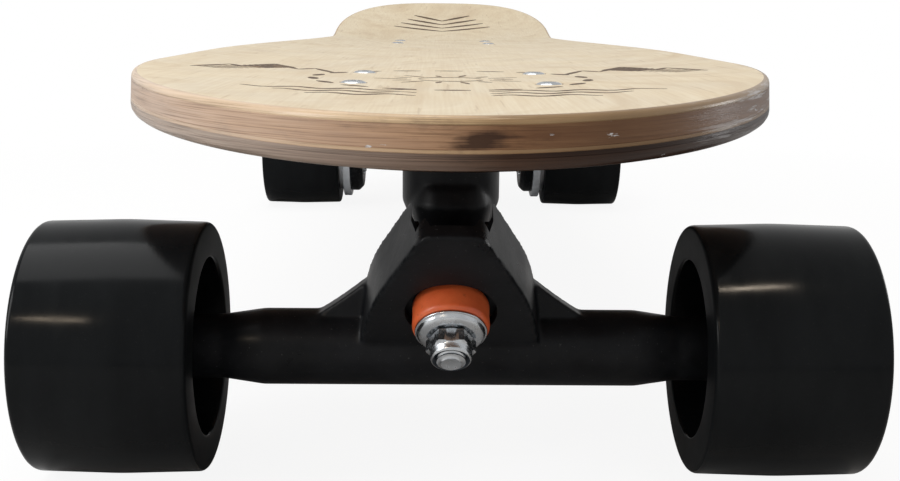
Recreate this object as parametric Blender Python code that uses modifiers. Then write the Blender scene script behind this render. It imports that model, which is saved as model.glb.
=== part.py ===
"""Electric skateboard: a kicktail deck on two steering trucks, with two free front wheels,
two rear hub motors and an electronics tray under the deck.

Metres, +Z up. X runs across the board, +Y from nose to tail. The origin is on the ground
under the middle of the deck."""

import math

import bmesh
import bpy

CLEAR = 0.0003
STEP_BACK = 0.0012

# Deck
DECK_LENGTH = 0.892
DECK_THICKNESS = 0.0145
DECK_WIDE_HALF = 0.126
DECK_WAIST_HALF = 0.096
DECK_NOSE_LENGTH = 0.225
DECK_WAIST_START = 0.332
DECK_WAIST_LENGTH = 0.460
DECK_TAIL_LENGTH = 0.105
DECK_TAIL_SQUARENESS = 2.7
DECK_CONCAVE = 0.0045
DECK_EDGE_ROUND = 0.003
KICK_LENGTH = 0.135
KICK_RISE = 0.0325
KICK_CURVE = 1.5
DECK_STATIONS = 26
DECK_STRIPS = 8

# Trucks: distances from the axle, forward being towards the nearer end of the board
WHEELBASE = 0.600
FRONT_OVERHANG = 0.112
TRUCK_HEIGHT = 0.076
RISER_THICKNESS = 0.002
PLATE_WIDTH = 0.086
PLATE_LENGTH = 0.106
PLATE_THICKNESS = 0.006
PLATE_SETBACK = 0.040
PLATE_ROUND = 0.0025
BOLT_SPACING_X = 0.070
BOLT_SPACING_Y = 0.068
BOLT_SETBACK = 0.050
KINGPIN_TILT = math.radians(40)
SEAT_FORWARD = 0.0195
SEAT_UP = 0.0244
PIVOT_TILT = math.radians(36)
PIVOT_LENGTH = 0.056
PIVOT_RADIUS = 0.0065
PIVOT_ROOT_RADIUS = 0.011
PIVOT_ROOT_DEPTH = 0.038
BAR_RADIUS = 0.0136
BAR_HALF = 0.066
BAR_TAPER = 0.014
BAR_END_RADIUS = 0.0115
BAR_FACE_RADIUS = 0.0062
BAR_FACE_LENGTH = 0.001
GUSSET_REACH = 0.0505
GUSSET_TOP = 0.0262
GUSSET_THICKNESS = 0.010
GUSSET_TIP_SINK = 0.003
GUSSET_FORWARD = 0.001
YOKE_TOP = 0.0396
YOKE_TOP_HALF = 0.0086
YOKE_SHOULDER = 0.018
YOKE_SHOULDER_HALF = 0.0195
YOKE_HALF = 0.028
YOKE_DROP = 0.024
YOKE_FOOT_HALF = 0.0315
YOKE_FRONT_WALL = 0.005
YOKE_LIP_FORWARD = 0.051
YOKE_LIP_UP = 0.049
YOKE_LIP_TILT = math.radians(7.6)
WEB_HALF = 0.004
SEAT_RECESS_DEPTH = 0.004
SEAT_RECESS_RADIUS = 0.0155
CUP_RADIUS = 0.019
CUP_DEPTH = 0.011
SLOT_RIM_HALF = 0.0142
SLOT_FRONT_HALF = 0.0075
SLOT_FLOOR = 0.020
KINGPIN_RADIUS = 0.00475
KINGPIN_PLAY = 0.00225
KINGPIN_TIP = 0.0015
KINGPIN_HEAD_RADIUS = 0.0080
KINGPIN_HEAD_LENGTH = 0.006
KINGPIN_HEAD_ROOM = 0.004
BUSHING_RADIUS = 0.013
ROAD_BUSHING_LENGTH = 0.011
BOARD_BUSHING_LENGTH = 0.012
WASHER_RADIUS = 0.012
WASHER_THICKNESS = 0.003
WASHER_RIM = 0.0008
KINGPIN_NUT_RADIUS = 0.00825
KINGPIN_NUT_LENGTH = 0.0082
BOSS_RADIUS = 0.0125
BOSS_LENGTH = 0.029
NECK_RADIUS = 0.0171
NECK_SHOULDER_RADIUS = 0.0152
NECK_FOOT_RADIUS = 0.0105
NECK_LENGTH = 0.0175
NECK_CONE_LENGTH = 0.0125
NECK_SETBACK = 0.005
PIVOT_CUP_WALL = 0.0015
PIVOT_HOUSING_WALL = 0.0022
PIVOT_HOUSING_FLOOR = 0.004
HORN_WIDTH = 0.020
HORN_LENGTH = 0.015
HORN_SETBACK = 0.027

# Truck bolts
BOLT_RADIUS = 0.0025
BOLT_HEAD_RADIUS = 0.0048
BOLT_HEAD_DEPTH = 0.0026
BOLT_NUT_RADIUS = 0.0046
BOLT_NUT_LENGTH = 0.005
BOLT_END = 0.0015

# Wheels: distances along the axle are from the board's middle plane
WHEEL_RADIUS = 0.045
WHEEL_INNER = 0.0854
WHEEL_ROUND = 0.0022
FRONT_WHEEL_WIDTH = 0.0584
WHEEL_RECESS_RADIUS = 0.0316
WHEEL_RECESS_DEPTH = 0.0145
CORE_RADIUS = 0.0265
CORE_SHOULDER_RADIUS = 0.0088
CORE_LIGHTENING_INNER = 0.0150
CORE_LIGHTENING_OUTER = 0.0230
CORE_LIGHTENING_DEPTH = 0.008
AXLE_RADIUS = 0.004
AXLE_TIP = 0.0012
BEARING_RADIUS = 0.011
BEARING_WIDTH = 0.007
AXLE_NUT_RADIUS = 0.0073
AXLE_NUT_LENGTH = 0.0065

# Rear hub motors
REAR_TIRE_WIDTH = 0.062
CAN_RADIUS = 0.033
CAN_WALL = 0.0055
CAN_OVERLAP = 0.0092
CAN_INSET = 0.004
CAN_END_THICKNESS = 0.013
CAN_CAP_THICKNESS = 0.0047
CAN_CHAMFER = 0.002
CAN_FLANGE_RADIUS = 0.0385
CAN_FLANGE_LENGTH = 0.006
COVER_RADIUS = 0.034
COVER_LENGTH = 0.010
COVER_CHAMFER = 0.004
COVER_SPIGOT = 0.0041
COVER_LIP = 0.0056
MOTOR_AXLE_RADIUS = 0.006
MOTOR_BEARING_RADIUS = 0.014
MOTOR_BEARING_WIDTH = 0.008
STATOR_GAP = 0.001
STATOR_END_GAP = 0.004
STATOR_WINDING_LENGTH = 0.006
STATOR_WINDING_RADIUS = 0.0215

# Electronics tray
TRAY_PLATE_GAP = 0.021
TRAY_LENGTH = 0.270
TRAY_WIDTH = 0.156
TRAY_DEPTH = 0.036
TRAY_WALL = 0.003
TRAY_ROUND = 0.008
FLANGE_WIDTH = 0.011
FLANGE_THICKNESS = 0.004
TRAY_SCREW_END_INSET = 0.030
TRAY_SCREW_RADIUS = 0.002
TRAY_SCREW_HEAD_RADIUS = 0.0038
TRAY_SCREW_HEAD_LENGTH = 0.0026
TRAY_SCREW_BITE = 0.009
CELL_RADIUS = 0.0092
CELL_PITCH = 0.0184
CELL_LENGTH = 0.065
CELL_COLUMNS = 2
PACK_END_GAP = 0.006
CONTROLLER_LENGTH = 0.058
CONTROLLER_WIDTH = 0.090
CONTROLLER_BASE = 0.007
CONTROLLER_HEIGHT = 0.018
CONTROLLER_FINS = 7
CONTROLLER_END_GAP = 0.006
SIDE_FITTING_DROP = 0.021
CHARGE_PORT_BACK = 0.030
CHARGE_PORT_RADIUS = 0.0075
CHARGE_PORT_FLANGE_RADIUS = 0.0105
CHARGE_PORT_FLANGE_LENGTH = 0.002
CHARGE_PORT_BORE = 0.0055
CHARGE_PORT_LENGTH = 0.014
CHARGE_PORT_FLOOR = 0.002
BUTTON_BACK = 0.060
BUTTON_RADIUS = 0.006
BUTTON_PROUD = 0.0028
BUTTON_FLANGE_RADIUS = 0.0069
BUTTON_FLANGE_LENGTH = 0.0015
OUTLET_RADIUS = 0.0035
OUTLET_SPACING = 0.040

# Derived places
AXLE_UP = WHEEL_RADIUS
PLATE_TOP = TRUCK_HEIGHT
PLATE_BOTTOM = PLATE_TOP - PLATE_THICKNESS
DECK_BOTTOM = AXLE_UP + TRUCK_HEIGHT + RISER_THICKNESS
DECK_TOP = DECK_BOTTOM + DECK_THICKNESS
NOSE_END = -DECK_LENGTH / 2
TAIL_END = DECK_LENGTH / 2
KICK_ANGLE = math.atan(KICK_CURVE * KICK_RISE / KICK_LENGTH)
TOP_END = TAIL_END - DECK_THICKNESS * math.sin(KICK_ANGLE)
FRONT_AXLE = NOSE_END + FRONT_OVERHANG
REAR_AXLE = FRONT_AXLE + WHEELBASE
SEAT = (0, SEAT_FORWARD, SEAT_UP)
YOKE_FRONT = WEB_HALF + SEAT_RECESS_DEPTH
YOKE_RIM = -WEB_HALF - CUP_DEPTH
ROAD_BUSHING_START = WEB_HALF + CLEAR
WASHER_START = ROAD_BUSHING_START + ROAD_BUSHING_LENGTH + CLEAR
KINGPIN_NUT_START = WASHER_START + WASHER_THICKNESS + CLEAR
KINGPIN_END = KINGPIN_NUT_START + KINGPIN_NUT_LENGTH + KINGPIN_TIP
BOSS_FRONT = -WEB_HALF - BOARD_BUSHING_LENGTH - 2 * CLEAR
BOSS_BACK = BOSS_FRONT - BOSS_LENGTH
AXLE_TO_SEAT = SEAT_FORWARD * math.cos(PIVOT_TILT) + SEAT_UP * math.sin(PIVOT_TILT)
PIVOT_MOUTH = AXLE_TO_SEAT + BAR_RADIUS + STEP_BACK
PIVOT_CUP_RADIUS = PIVOT_RADIUS + CLEAR + PIVOT_CUP_WALL
PIVOT_POCKET = PIVOT_CUP_RADIUS + CLEAR
PIVOT_CUP_END = PIVOT_LENGTH + CLEAR + PIVOT_CUP_WALL
PIVOT_HOUSING_RADIUS = PIVOT_POCKET + PIVOT_HOUSING_WALL
PIVOT_HOUSING_END = PIVOT_CUP_END + CLEAR + PIVOT_HOUSING_FLOOR
FRONT_WHEEL_OUTER = WHEEL_INNER + FRONT_WHEEL_WIDTH
CORE_INNER = WHEEL_INNER + WHEEL_RECESS_DEPTH
CORE_OUTER = FRONT_WHEEL_OUTER - WHEEL_RECESS_DEPTH
FRONT_BAR_END = CORE_INNER - CLEAR
AXLE_NUT_START = CORE_OUTER + CLEAR
FRONT_AXLE_HALF = AXLE_NUT_START + AXLE_NUT_LENGTH + AXLE_TIP
REAR_TIRE_OUTER = WHEEL_INNER + REAR_TIRE_WIDTH
CAN_START = WHEEL_INNER - CAN_OVERLAP
CAN_END = REAR_TIRE_OUTER - CAN_INSET
CAN_BORE = CAN_RADIUS - CAN_WALL
CAN_FLOOR = CAN_END - CAN_END_THICKNESS
CAN_POCKET_FLOOR = CAN_END - CAN_CAP_THICKNESS
COVER_END = CAN_START - CLEAR
COVER_START = COVER_END - COVER_LENGTH
COVER_INNER = COVER_END + COVER_SPIGOT
MOTOR_BEARING_POCKET = MOTOR_BEARING_RADIUS + CLEAR
REAR_BAR_END = COVER_START - CLEAR
REAR_AXLE_HALF = CAN_POCKET_FLOOR - 2 * CLEAR
STATOR_START = COVER_INNER + STATOR_END_GAP
STATOR_END = CAN_FLOOR - STATOR_END_GAP
TRAY_END = REAR_AXLE - PLATE_SETBACK - PLATE_LENGTH / 2 - TRAY_PLATE_GAP - FLANGE_WIDTH
TRAY_START = TRAY_END - TRAY_LENGTH
CELL_ROOM = TRAY_LENGTH - 2 * TRAY_WALL - PACK_END_GAP - CONTROLLER_LENGTH - 2 * CONTROLLER_END_GAP
CELL_ROWS = int(CELL_ROOM / CELL_PITCH)
TRAY_BOTTOM = DECK_BOTTOM - TRAY_DEPTH
TRAY_FLOOR = TRAY_BOTTOM + TRAY_WALL
TRAY_HALF = TRAY_WIDTH / 2
SIDE_FITTING_UP = DECK_BOTTOM - SIDE_FITTING_DROP
CHARGE_PORT_PLACE = TRAY_END - CHARGE_PORT_BACK
BUTTON_PLACE = TRAY_END - BUTTON_BACK

# Facets round a turned piece
WHEEL_STEPS = 36
HUB_STEPS = 24
TRUCK_STEPS = 20
BEARING_STEPS = 16
SMALL_STEPS = 12
HEX_STEPS = 6

# Turning local Z onto an axis
ALONG_AXLE = math.pi / 2
ALONG_KINGPIN = (-(math.pi / 2 + KINGPIN_TILT), 0, 0)
ALONG_PIVOT = (math.pi / 2 + PIVOT_TILT, 0, 0)

SHARP_ANGLE = math.radians(35)
MERGE = 0.00001


def clear_scene():
    for obj in list(bpy.data.objects):
        bpy.data.objects.remove(obj, do_unlink=True)


def new_collection(name):
    collection = bpy.data.collections.new(name)
    bpy.context.scene.collection.children.link(collection)
    return collection


clear_scene()
PARTS = new_collection("electric_skateboard")
CUTTERS = new_collection("cutters")


def new_material(name, color, roughness, metallic):
    material = bpy.data.materials.new(name)
    material.use_nodes = True
    shader = material.node_tree.nodes["Principled BSDF"]
    shader.inputs["Base Color"].default_value = (*color, 1)
    shader.inputs["Roughness"].default_value = roughness
    shader.inputs["Metallic"].default_value = metallic
    return material


WOOD = new_material("maple", (0.82, 0.70, 0.52), 0.45, 0)
BLACK_METAL = new_material("black_paint", (0.02, 0.02, 0.022), 0.35, 0.2)
URETHANE = new_material("black_urethane", (0.015, 0.015, 0.016), 0.25, 0)
ORANGE = new_material("orange_bushing", (0.72, 0.18, 0.06), 0.4, 0)
ZINC = new_material("zinc", (0.72, 0.74, 0.76), 0.25, 1)
ALUMINIUM = new_material("motor_aluminium", (0.65, 0.66, 0.68), 0.3, 1)
STEEL = new_material("steel", (0.55, 0.56, 0.58), 0.3, 1)
RUBBER = new_material("black_rubber", (0.03, 0.03, 0.03), 0.7, 0)
PLASTIC = new_material("black_plastic", (0.025, 0.025, 0.027), 0.5, 0)
COPPER = new_material("windings", (0.55, 0.25, 0.10), 0.4, 0.8)
WRAP = new_material("battery_wrap", (0.05, 0.12, 0.35), 0.4, 0)


def shade(mesh):
    mesh.shade_smooth()
    mesh.set_sharp_from_angle(angle=SHARP_ANGLE)


def new_object(name, mesh):
    obj = bpy.data.objects.new(name, mesh)
    PARTS.objects.link(obj)
    return obj


def new_empty(name, parent=None, location=(0, 0, 0), turn=0):
    empty = new_object(name, None)
    empty.parent = parent
    empty.location = location
    empty.rotation_euler = (0, 0, turn)
    return empty


def place(obj, parent=None, location=(0, 0, 0), rotation=(0, 0, 0)):
    obj.parent = parent
    obj.location = location
    obj.rotation_euler = rotation
    return obj


def evaluated_mesh(obj):
    bpy.context.view_layer.update()
    graph = bpy.context.evaluated_depsgraph_get()
    return bpy.data.meshes.new_from_object(obj.evaluated_get(graph))


def flatten_ends(mesh):
    """Makes each flat end of a turned piece one face, with no point on its axis."""
    form = bmesh.new()
    form.from_mesh(mesh)
    middles = [vertex for vertex in form.verts if vertex.co.xy.length < MERGE]
    bmesh.ops.dissolve_verts(form, verts=middles)
    form.to_mesh(mesh)
    form.free()


def turned(name, profile, steps, ring=True):
    """A profile of (radius, height) points turned about local Z. It runs down its outer side."""
    count = len(profile)
    last = count if ring else count - 1
    mesh = bpy.data.meshes.new(name)
    mesh.from_pydata(
        [(radius, 0, height) for radius, height in profile],
        [(i, (i + 1) % count) for i in range(last)],
        [],
    )
    obj = new_object(name, mesh)
    screw = obj.modifiers.new("turn", "SCREW")
    screw.steps = steps
    screw.render_steps = steps
    screw.use_merge_vertices = True
    screw.merge_threshold = MERGE
    obj.data = evaluated_mesh(obj)
    obj.modifiers.clear()
    flatten_ends(obj.data)
    shade(obj.data)
    return obj


def cylinder(name, radius, low, high, steps):
    return turned(name, [(0, high), (radius, high), (radius, low), (0, low)], steps, ring=False)


def tube(name, inner, outer, low, high, steps):
    return turned(name, [(outer, high), (outer, low), (inner, low), (inner, high)], steps)


def block(name, low, high, rounding=0, segments=2):
    """A box between two corners, with every edge rounded where a rounding is given."""
    form = bmesh.new()
    bmesh.ops.create_cube(form, size=1)
    for vertex in form.verts:
        for i in range(3):
            vertex.co[i] = (low[i] + high[i]) / 2 + vertex.co[i] * (high[i] - low[i])
    mesh = bpy.data.meshes.new(name)
    form.to_mesh(mesh)
    form.free()
    obj = new_object(name, mesh)
    if rounding:
        bevel = obj.modifiers.new("round", "BEVEL")
        bevel.width = rounding
        bevel.segments = segments
        obj.data = evaluated_mesh(obj)
        obj.modifiers.clear()
    shade(obj.data)
    return obj


def prism(name, outline, thickness):
    """A flat outline in local XY, thickened both ways along local Z."""
    curve = bpy.data.curves.new(name, "CURVE")
    curve.dimensions = "2D"
    curve.fill_mode = "BOTH"
    curve.extrude = thickness / 2
    spline = curve.splines.new("POLY")
    spline.points.add(len(outline) - 1)
    for point, (x, y) in zip(spline.points, outline):
        point.co = (x, y, 0, 1)
    spline.use_cyclic_u = True
    guide = new_object(name + "_outline", curve)
    mesh = evaluated_mesh(guide)
    bpy.data.objects.remove(guide, do_unlink=True)
    form = bmesh.new()
    form.from_mesh(mesh)
    bmesh.ops.remove_doubles(form, verts=form.verts, dist=MERGE)
    bmesh.ops.recalc_face_normals(form, faces=form.faces)
    form.to_mesh(mesh)
    form.free()
    shade(mesh)
    return new_object(name, mesh)


def as_helper(obj):
    if obj.name in PARTS.objects:
        PARTS.objects.unlink(obj)
        CUTTERS.objects.link(obj)
    obj.hide_render = True
    obj.display_type = "WIRE"
    return obj


def combine(obj, others, operation):
    for other in others:
        boolean = obj.modifiers.new(other.name, "BOOLEAN")
        boolean.operation = operation
        boolean.solver = "EXACT"
        boolean.object = as_helper(other)
    return obj


def join(obj, *others):
    return combine(obj, others, "UNION")


def cut(obj, *others):
    return combine(obj, others, "DIFFERENCE")


def hex_nut(name, bore, radius, low, high):
    nut = cylinder(name, radius, low, high, HEX_STEPS)
    hole = cylinder(name + "_bore", bore, low - radius, high + radius, SMALL_STEPS)
    return cut(nut, place(hole, nut))


def finish(obj, material):
    obj.data.materials.clear()
    obj.data.materials.append(material)
    return obj


def half_width(y):
    """Half the deck's width at y: an elliptic nose, a long taper and a squarish tail."""
    wide = NOSE_END + DECK_NOSE_LENGTH
    share = (y - NOSE_END - DECK_WAIST_START) / DECK_WAIST_LENGTH
    share = min(max(share, 0), 1)
    half = DECK_WIDE_HALF + (DECK_WAIST_HALF - DECK_WIDE_HALF) * share**2 * (3 - 2 * share)
    if y < wide:
        half *= math.sqrt(max(0, 1 - ((wide - y) / DECK_NOSE_LENGTH) ** 2))
    tail = (y - TOP_END + DECK_TAIL_LENGTH) / DECK_TAIL_LENGTH
    if tail > 0:
        half *= max(0, 1 - tail**DECK_TAIL_SQUARENESS) ** (1 / DECK_TAIL_SQUARENESS)
    return half


def deck_surface(x, y):
    """Height of the deck's top: dished across its width, with a rising tail."""
    kick = max(0, y - TOP_END + KICK_LENGTH) / KICK_LENGTH
    return DECK_TOP + DECK_CONCAVE * (x / DECK_WIDE_HALF) ** 2 + KICK_RISE * kick**KICK_CURVE


def deck_sheet(name, drop, side):
    """The deck's top surface lowered by drop and thickened down (-1) or up (1)."""
    form = bmesh.new()
    bmesh.ops.create_grid(form, x_segments=DECK_STRIPS, y_segments=DECK_STATIONS, size=1)
    for vertex in form.verts:
        share = (1 + math.sin(vertex.co.y * math.pi / 2)) / 2
        y = NOSE_END + (TOP_END - NOSE_END) * share
        x = vertex.co.x * half_width(y)
        vertex.co = (x, y, deck_surface(x, y) - drop)
    bmesh.ops.remove_doubles(form, verts=form.verts, dist=MERGE)
    mesh = bpy.data.meshes.new(name)
    form.to_mesh(mesh)
    form.free()
    shade(mesh)
    obj = new_object(name, mesh)
    solidify = obj.modifiers.new("thickness", "SOLIDIFY")
    solidify.thickness = DECK_THICKNESS
    solidify.offset = side
    return obj


def build_deck():
    deck = deck_sheet("deck", 0, -1)
    bevel = deck.modifiers.new("edge", "BEVEL")
    bevel.width = DECK_EDGE_ROUND
    bevel.limit_method = "ANGLE"
    bevel.angle_limit = math.radians(50)
    return finish(deck, WOOD)


def build_hanger(end, base, steer, bar_profile, axle_bore):
    hanger = turned(end + "_hanger", bar_profile, TRUCK_STEPS, ring=False)
    place(hanger, steer, (0, -SEAT_FORWARD, -SEAT_UP), (0, ALONG_AXLE, 0))
    right = [
        (YOKE_FOOT_HALF, YOKE_DROP),
        (YOKE_HALF, 0),
        (YOKE_SHOULDER_HALF, -YOKE_SHOULDER),
        (YOKE_TOP_HALF, -YOKE_TOP),
    ]
    left = [(-x, y) for x, y in reversed(right)]
    yoke = prism(end + "_yoke", right + left, YOKE_FRONT - YOKE_RIM)
    pivot = turned(
        end + "_pivot_nose",
        [
            (0, PIVOT_LENGTH),
            (PIVOT_RADIUS * math.cos(math.pi / 4), PIVOT_LENGTH),
            (PIVOT_RADIUS, PIVOT_LENGTH - PIVOT_RADIUS / 2),
            (PIVOT_RADIUS, PIVOT_MOUTH - CLEAR),
            (PIVOT_ROOT_RADIUS, PIVOT_LENGTH - PIVOT_ROOT_DEPTH),
            (0, PIVOT_LENGTH - PIVOT_ROOT_DEPTH),
        ],
        SMALL_STEPS,
        ring=False,
    )
    gusset_tip = BAR_RADIUS - GUSSET_TIP_SINK
    gusset = prism(
        end + "_gusset",
        [
            (-GUSSET_REACH, gusset_tip),
            (-YOKE_HALF, GUSSET_TOP),
            (YOKE_HALF, GUSSET_TOP),
            (GUSSET_REACH, gusset_tip),
            (GUSSET_REACH, 0),
            (-GUSSET_REACH, 0),
        ],
        GUSSET_THICKNESS,
    )
    cup = cylinder(end + "_cup_cut", CUP_RADIUS, YOKE_RIM - CUP_RADIUS, -WEB_HALF, TRUCK_STEPS)
    recess = cylinder(
        end + "_recess_cut", SEAT_RECESS_RADIUS, WEB_HALF, YOKE_FRONT + CUP_RADIUS, TRUCK_STEPS
    )
    hole = cylinder(
        end + "_kingpin_play", KINGPIN_RADIUS + KINGPIN_PLAY, YOKE_RIM, YOKE_FRONT, SMALL_STEPS
    )
    slot_front = YOKE_FRONT - YOKE_FRONT_WALL
    slot = prism(
        end + "_slot_cut",
        [
            (SLOT_FRONT_HALF, slot_front),
            (-SLOT_FRONT_HALF, slot_front),
            (-SLOT_RIM_HALF, YOKE_RIM),
            (-SLOT_RIM_HALF, YOKE_RIM - CUP_DEPTH),
            (SLOT_RIM_HALF, YOKE_RIM - CUP_DEPTH),
            (SLOT_RIM_HALF, YOKE_RIM),
        ],
        2 * YOKE_TOP,
    )
    ceiling = block(
        end + "_ceiling_cut",
        (-2 * YOKE_HALF, -2 * YOKE_TOP, 0),
        (2 * YOKE_HALF, YOKE_TOP, YOKE_TOP),
    )
    place(ceiling, base, (0, YOKE_LIP_FORWARD, YOKE_LIP_UP), (-YOKE_LIP_TILT, 0, 0))
    bore = cylinder(end + "_axle_bore", axle_bore, -2 * BAR_HALF, 2 * BAR_HALF, SMALL_STEPS)
    for obj in (cup, recess, hole):
        place(obj, base, SEAT, ALONG_KINGPIN)
    slot_middle = SLOT_FLOOR + YOKE_TOP
    slot_forward = SEAT_FORWARD + slot_middle * math.sin(KINGPIN_TILT)
    slot_up = SEAT_UP + slot_middle * math.cos(KINGPIN_TILT)
    place(slot, base, (0, slot_forward, slot_up), (-KINGPIN_TILT, 0, 0))
    along = (YOKE_FRONT + YOKE_RIM) / 2
    middle_forward = SEAT_FORWARD + along * math.cos(KINGPIN_TILT)
    middle_up = SEAT_UP - along * math.sin(KINGPIN_TILT)
    place(yoke, base, (0, middle_forward, middle_up), ALONG_KINGPIN)
    place(pivot, base, SEAT, ALONG_PIVOT)
    place(gusset, base, (0, GUSSET_FORWARD, 0), (math.pi / 2, 0, 0))
    place(bore, base, (0, 0, 0), (0, ALONG_AXLE, 0))
    join(hanger, yoke, pivot, gusset)
    cut(hanger, cup, recess, hole, slot, ceiling, bore)
    return finish(hanger, BLACK_METAL)


def build_baseplate(end, base, bolt_holes):
    plate = block(
        end + "_baseplate",
        (-PLATE_WIDTH / 2, -PLATE_SETBACK - PLATE_LENGTH / 2, PLATE_BOTTOM),
        (PLATE_WIDTH / 2, -PLATE_SETBACK + PLATE_LENGTH / 2, PLATE_TOP),
        PLATE_ROUND,
    )
    place(plate, base)
    boss = cylinder(end + "_boss", BOSS_RADIUS, BOSS_BACK - STEP_BACK, BOSS_FRONT, TRUCK_STEPS)
    neck_step = PLATE_BOTTOM - NECK_LENGTH
    neck_root = PLATE_BOTTOM + PLATE_THICKNESS / 2
    neck = turned(
        end + "_neck",
        [
            (0, neck_root),
            (NECK_RADIUS, neck_root),
            (NECK_RADIUS, neck_step),
            (NECK_SHOULDER_RADIUS, neck_step - 2 * CLEAR),
            (NECK_FOOT_RADIUS, neck_step - NECK_CONE_LENGTH),
            (0, neck_step - NECK_CONE_LENGTH),
        ],
        TRUCK_STEPS,
        ring=False,
    )
    housing = cylinder(
        end + "_pivot_housing", PIVOT_HOUSING_RADIUS, PIVOT_MOUTH, PIVOT_HOUSING_END, TRUCK_STEPS
    )
    horn_foot = SEAT_UP - PIVOT_HOUSING_END * math.sin(PIVOT_TILT)
    horn = block(
        end + "_horn",
        (-HORN_WIDTH / 2, -HORN_SETBACK - HORN_LENGTH, horn_foot),
        (HORN_WIDTH / 2, -HORN_SETBACK, neck_root),
        PLATE_ROUND,
    )
    bore = cylinder(
        end + "_kingpin_bore", KINGPIN_RADIUS + CLEAR, BOSS_BACK - BOSS_RADIUS, YOKE_FRONT, SMALL_STEPS
    )
    head_room = KINGPIN_HEAD_LENGTH + KINGPIN_HEAD_ROOM
    head = cylinder(
        end + "_head_cut", KINGPIN_HEAD_RADIUS + CLEAR, BOSS_BACK - head_room, BOSS_BACK, SMALL_STEPS
    )
    pocket = cylinder(
        end + "_pivot_pocket", PIVOT_POCKET, PIVOT_MOUTH - PIVOT_RADIUS, PIVOT_CUP_END + CLEAR, TRUCK_STEPS
    )
    for obj in (boss, bore, head):
        place(obj, base, SEAT, ALONG_KINGPIN)
    for obj in (housing, pocket):
        place(obj, base, SEAT, ALONG_PIVOT)
    place(neck, base, (0, -NECK_SETBACK, 0))
    place(horn, base)
    join(plate, neck, boss, housing, horn)
    cut(plate, bore, head, pocket, *bolt_holes)
    return finish(plate, BLACK_METAL)


def build_kingpin_stack(end, base):
    """The kingpin and all that it clamps, plus the pivot cup."""
    head_face = BOSS_BACK - CLEAR
    kingpin = turned(
        end + "_kingpin",
        [
            (0, KINGPIN_END),
            (KINGPIN_RADIUS - KINGPIN_TIP / 2, KINGPIN_END),
            (KINGPIN_RADIUS, KINGPIN_END - KINGPIN_TIP / 2),
            (KINGPIN_RADIUS, head_face),
            (KINGPIN_HEAD_RADIUS, head_face),
            (KINGPIN_HEAD_RADIUS, head_face - KINGPIN_HEAD_LENGTH),
            (0, head_face - KINGPIN_HEAD_LENGTH),
        ],
        SMALL_STEPS,
        ring=False,
    )
    bore = KINGPIN_RADIUS + CLEAR
    road_end = ROAD_BUSHING_START + ROAD_BUSHING_LENGTH
    road = tube(end + "_roadside_bushing", bore, BUSHING_RADIUS, ROAD_BUSHING_START, road_end, TRUCK_STEPS)
    board_start = -WEB_HALF - CLEAR
    board = tube(
        end + "_boardside_bushing",
        bore,
        BUSHING_RADIUS,
        board_start - BOARD_BUSHING_LENGTH,
        board_start,
        TRUCK_STEPS,
    )
    washer_top = WASHER_START + WASHER_THICKNESS
    washer = turned(
        end + "_cup_washer",
        [
            (bore, washer_top),
            (KINGPIN_NUT_RADIUS, washer_top),
            (WASHER_RADIUS, WASHER_START + WASHER_RIM),
            (WASHER_RADIUS, WASHER_START),
            (bore, WASHER_START),
        ],
        TRUCK_STEPS,
    )
    nut_end = KINGPIN_NUT_START + KINGPIN_NUT_LENGTH
    nut = hex_nut(end + "_kingpin_nut", bore, KINGPIN_NUT_RADIUS, KINGPIN_NUT_START, nut_end)
    cup_bore = PIVOT_RADIUS + CLEAR
    cup = turned(
        end + "_pivot_cup",
        [
            (0, PIVOT_CUP_END),
            (PIVOT_CUP_RADIUS, PIVOT_CUP_END),
            (PIVOT_CUP_RADIUS, PIVOT_MOUTH),
            (cup_bore, PIVOT_MOUTH),
            (cup_bore, PIVOT_LENGTH + CLEAR),
            (0, PIVOT_LENGTH + CLEAR),
        ],
        TRUCK_STEPS,
        ring=False,
    )
    place(cup, base, SEAT, ALONG_PIVOT)
    finish(cup, RUBBER)
    for obj, material in ((kingpin, ZINC), (road, ORANGE), (board, ORANGE), (washer, ZINC), (nut, ZINC)):
        place(obj, base, SEAT, ALONG_KINGPIN)
        finish(obj, material)


def build_truck_bolts(end, base, axle_y, facing):
    """Four countersunk bolts with their nuts. Returns the holes that they need."""
    holes = []
    nut_top = PLATE_BOTTOM - CLEAR
    bolt_end = nut_top - BOLT_NUT_LENGTH - BOLT_END
    corners = [(sx, sy) for sx in (-1, 1) for sy in (-1, 1)]
    for number, (sx, sy) in enumerate(corners, 1):
        name = f"{end}_truck_bolt_{number}"
        x = sx * BOLT_SPACING_X / 2
        forward = sy * BOLT_SPACING_Y / 2 - BOLT_SETBACK
        top = deck_surface(x, axle_y + facing * forward) - AXLE_UP - CLEAR
        bolt = turned(
            name,
            [
                (0, top),
                (BOLT_HEAD_RADIUS, top),
                (BOLT_RADIUS, top - BOLT_HEAD_DEPTH),
                (BOLT_RADIUS, bolt_end),
                (0, bolt_end),
            ],
            SMALL_STEPS,
            ring=False,
        )
        nut = cylinder(name + "_nut", BOLT_NUT_RADIUS, nut_top - BOLT_NUT_LENGTH, nut_top, HEX_STEPS)
        hole = turned(
            name + "_hole",
            [
                (0, top + BOLT_HEAD_DEPTH),
                (BOLT_HEAD_RADIUS + CLEAR, top + BOLT_HEAD_DEPTH),
                (BOLT_HEAD_RADIUS + CLEAR, top - CLEAR),
                (BOLT_RADIUS + CLEAR, top - BOLT_HEAD_DEPTH - CLEAR),
                (BOLT_RADIUS + CLEAR, bolt_end),
                (0, bolt_end),
            ],
            SMALL_STEPS,
            ring=False,
        )
        for obj in (bolt, nut, hole):
            place(obj, base, (x, forward, 0))
        join(bolt, nut)
        finish(bolt, ZINC)
        holes.append(as_helper(hole))
    return holes


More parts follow.
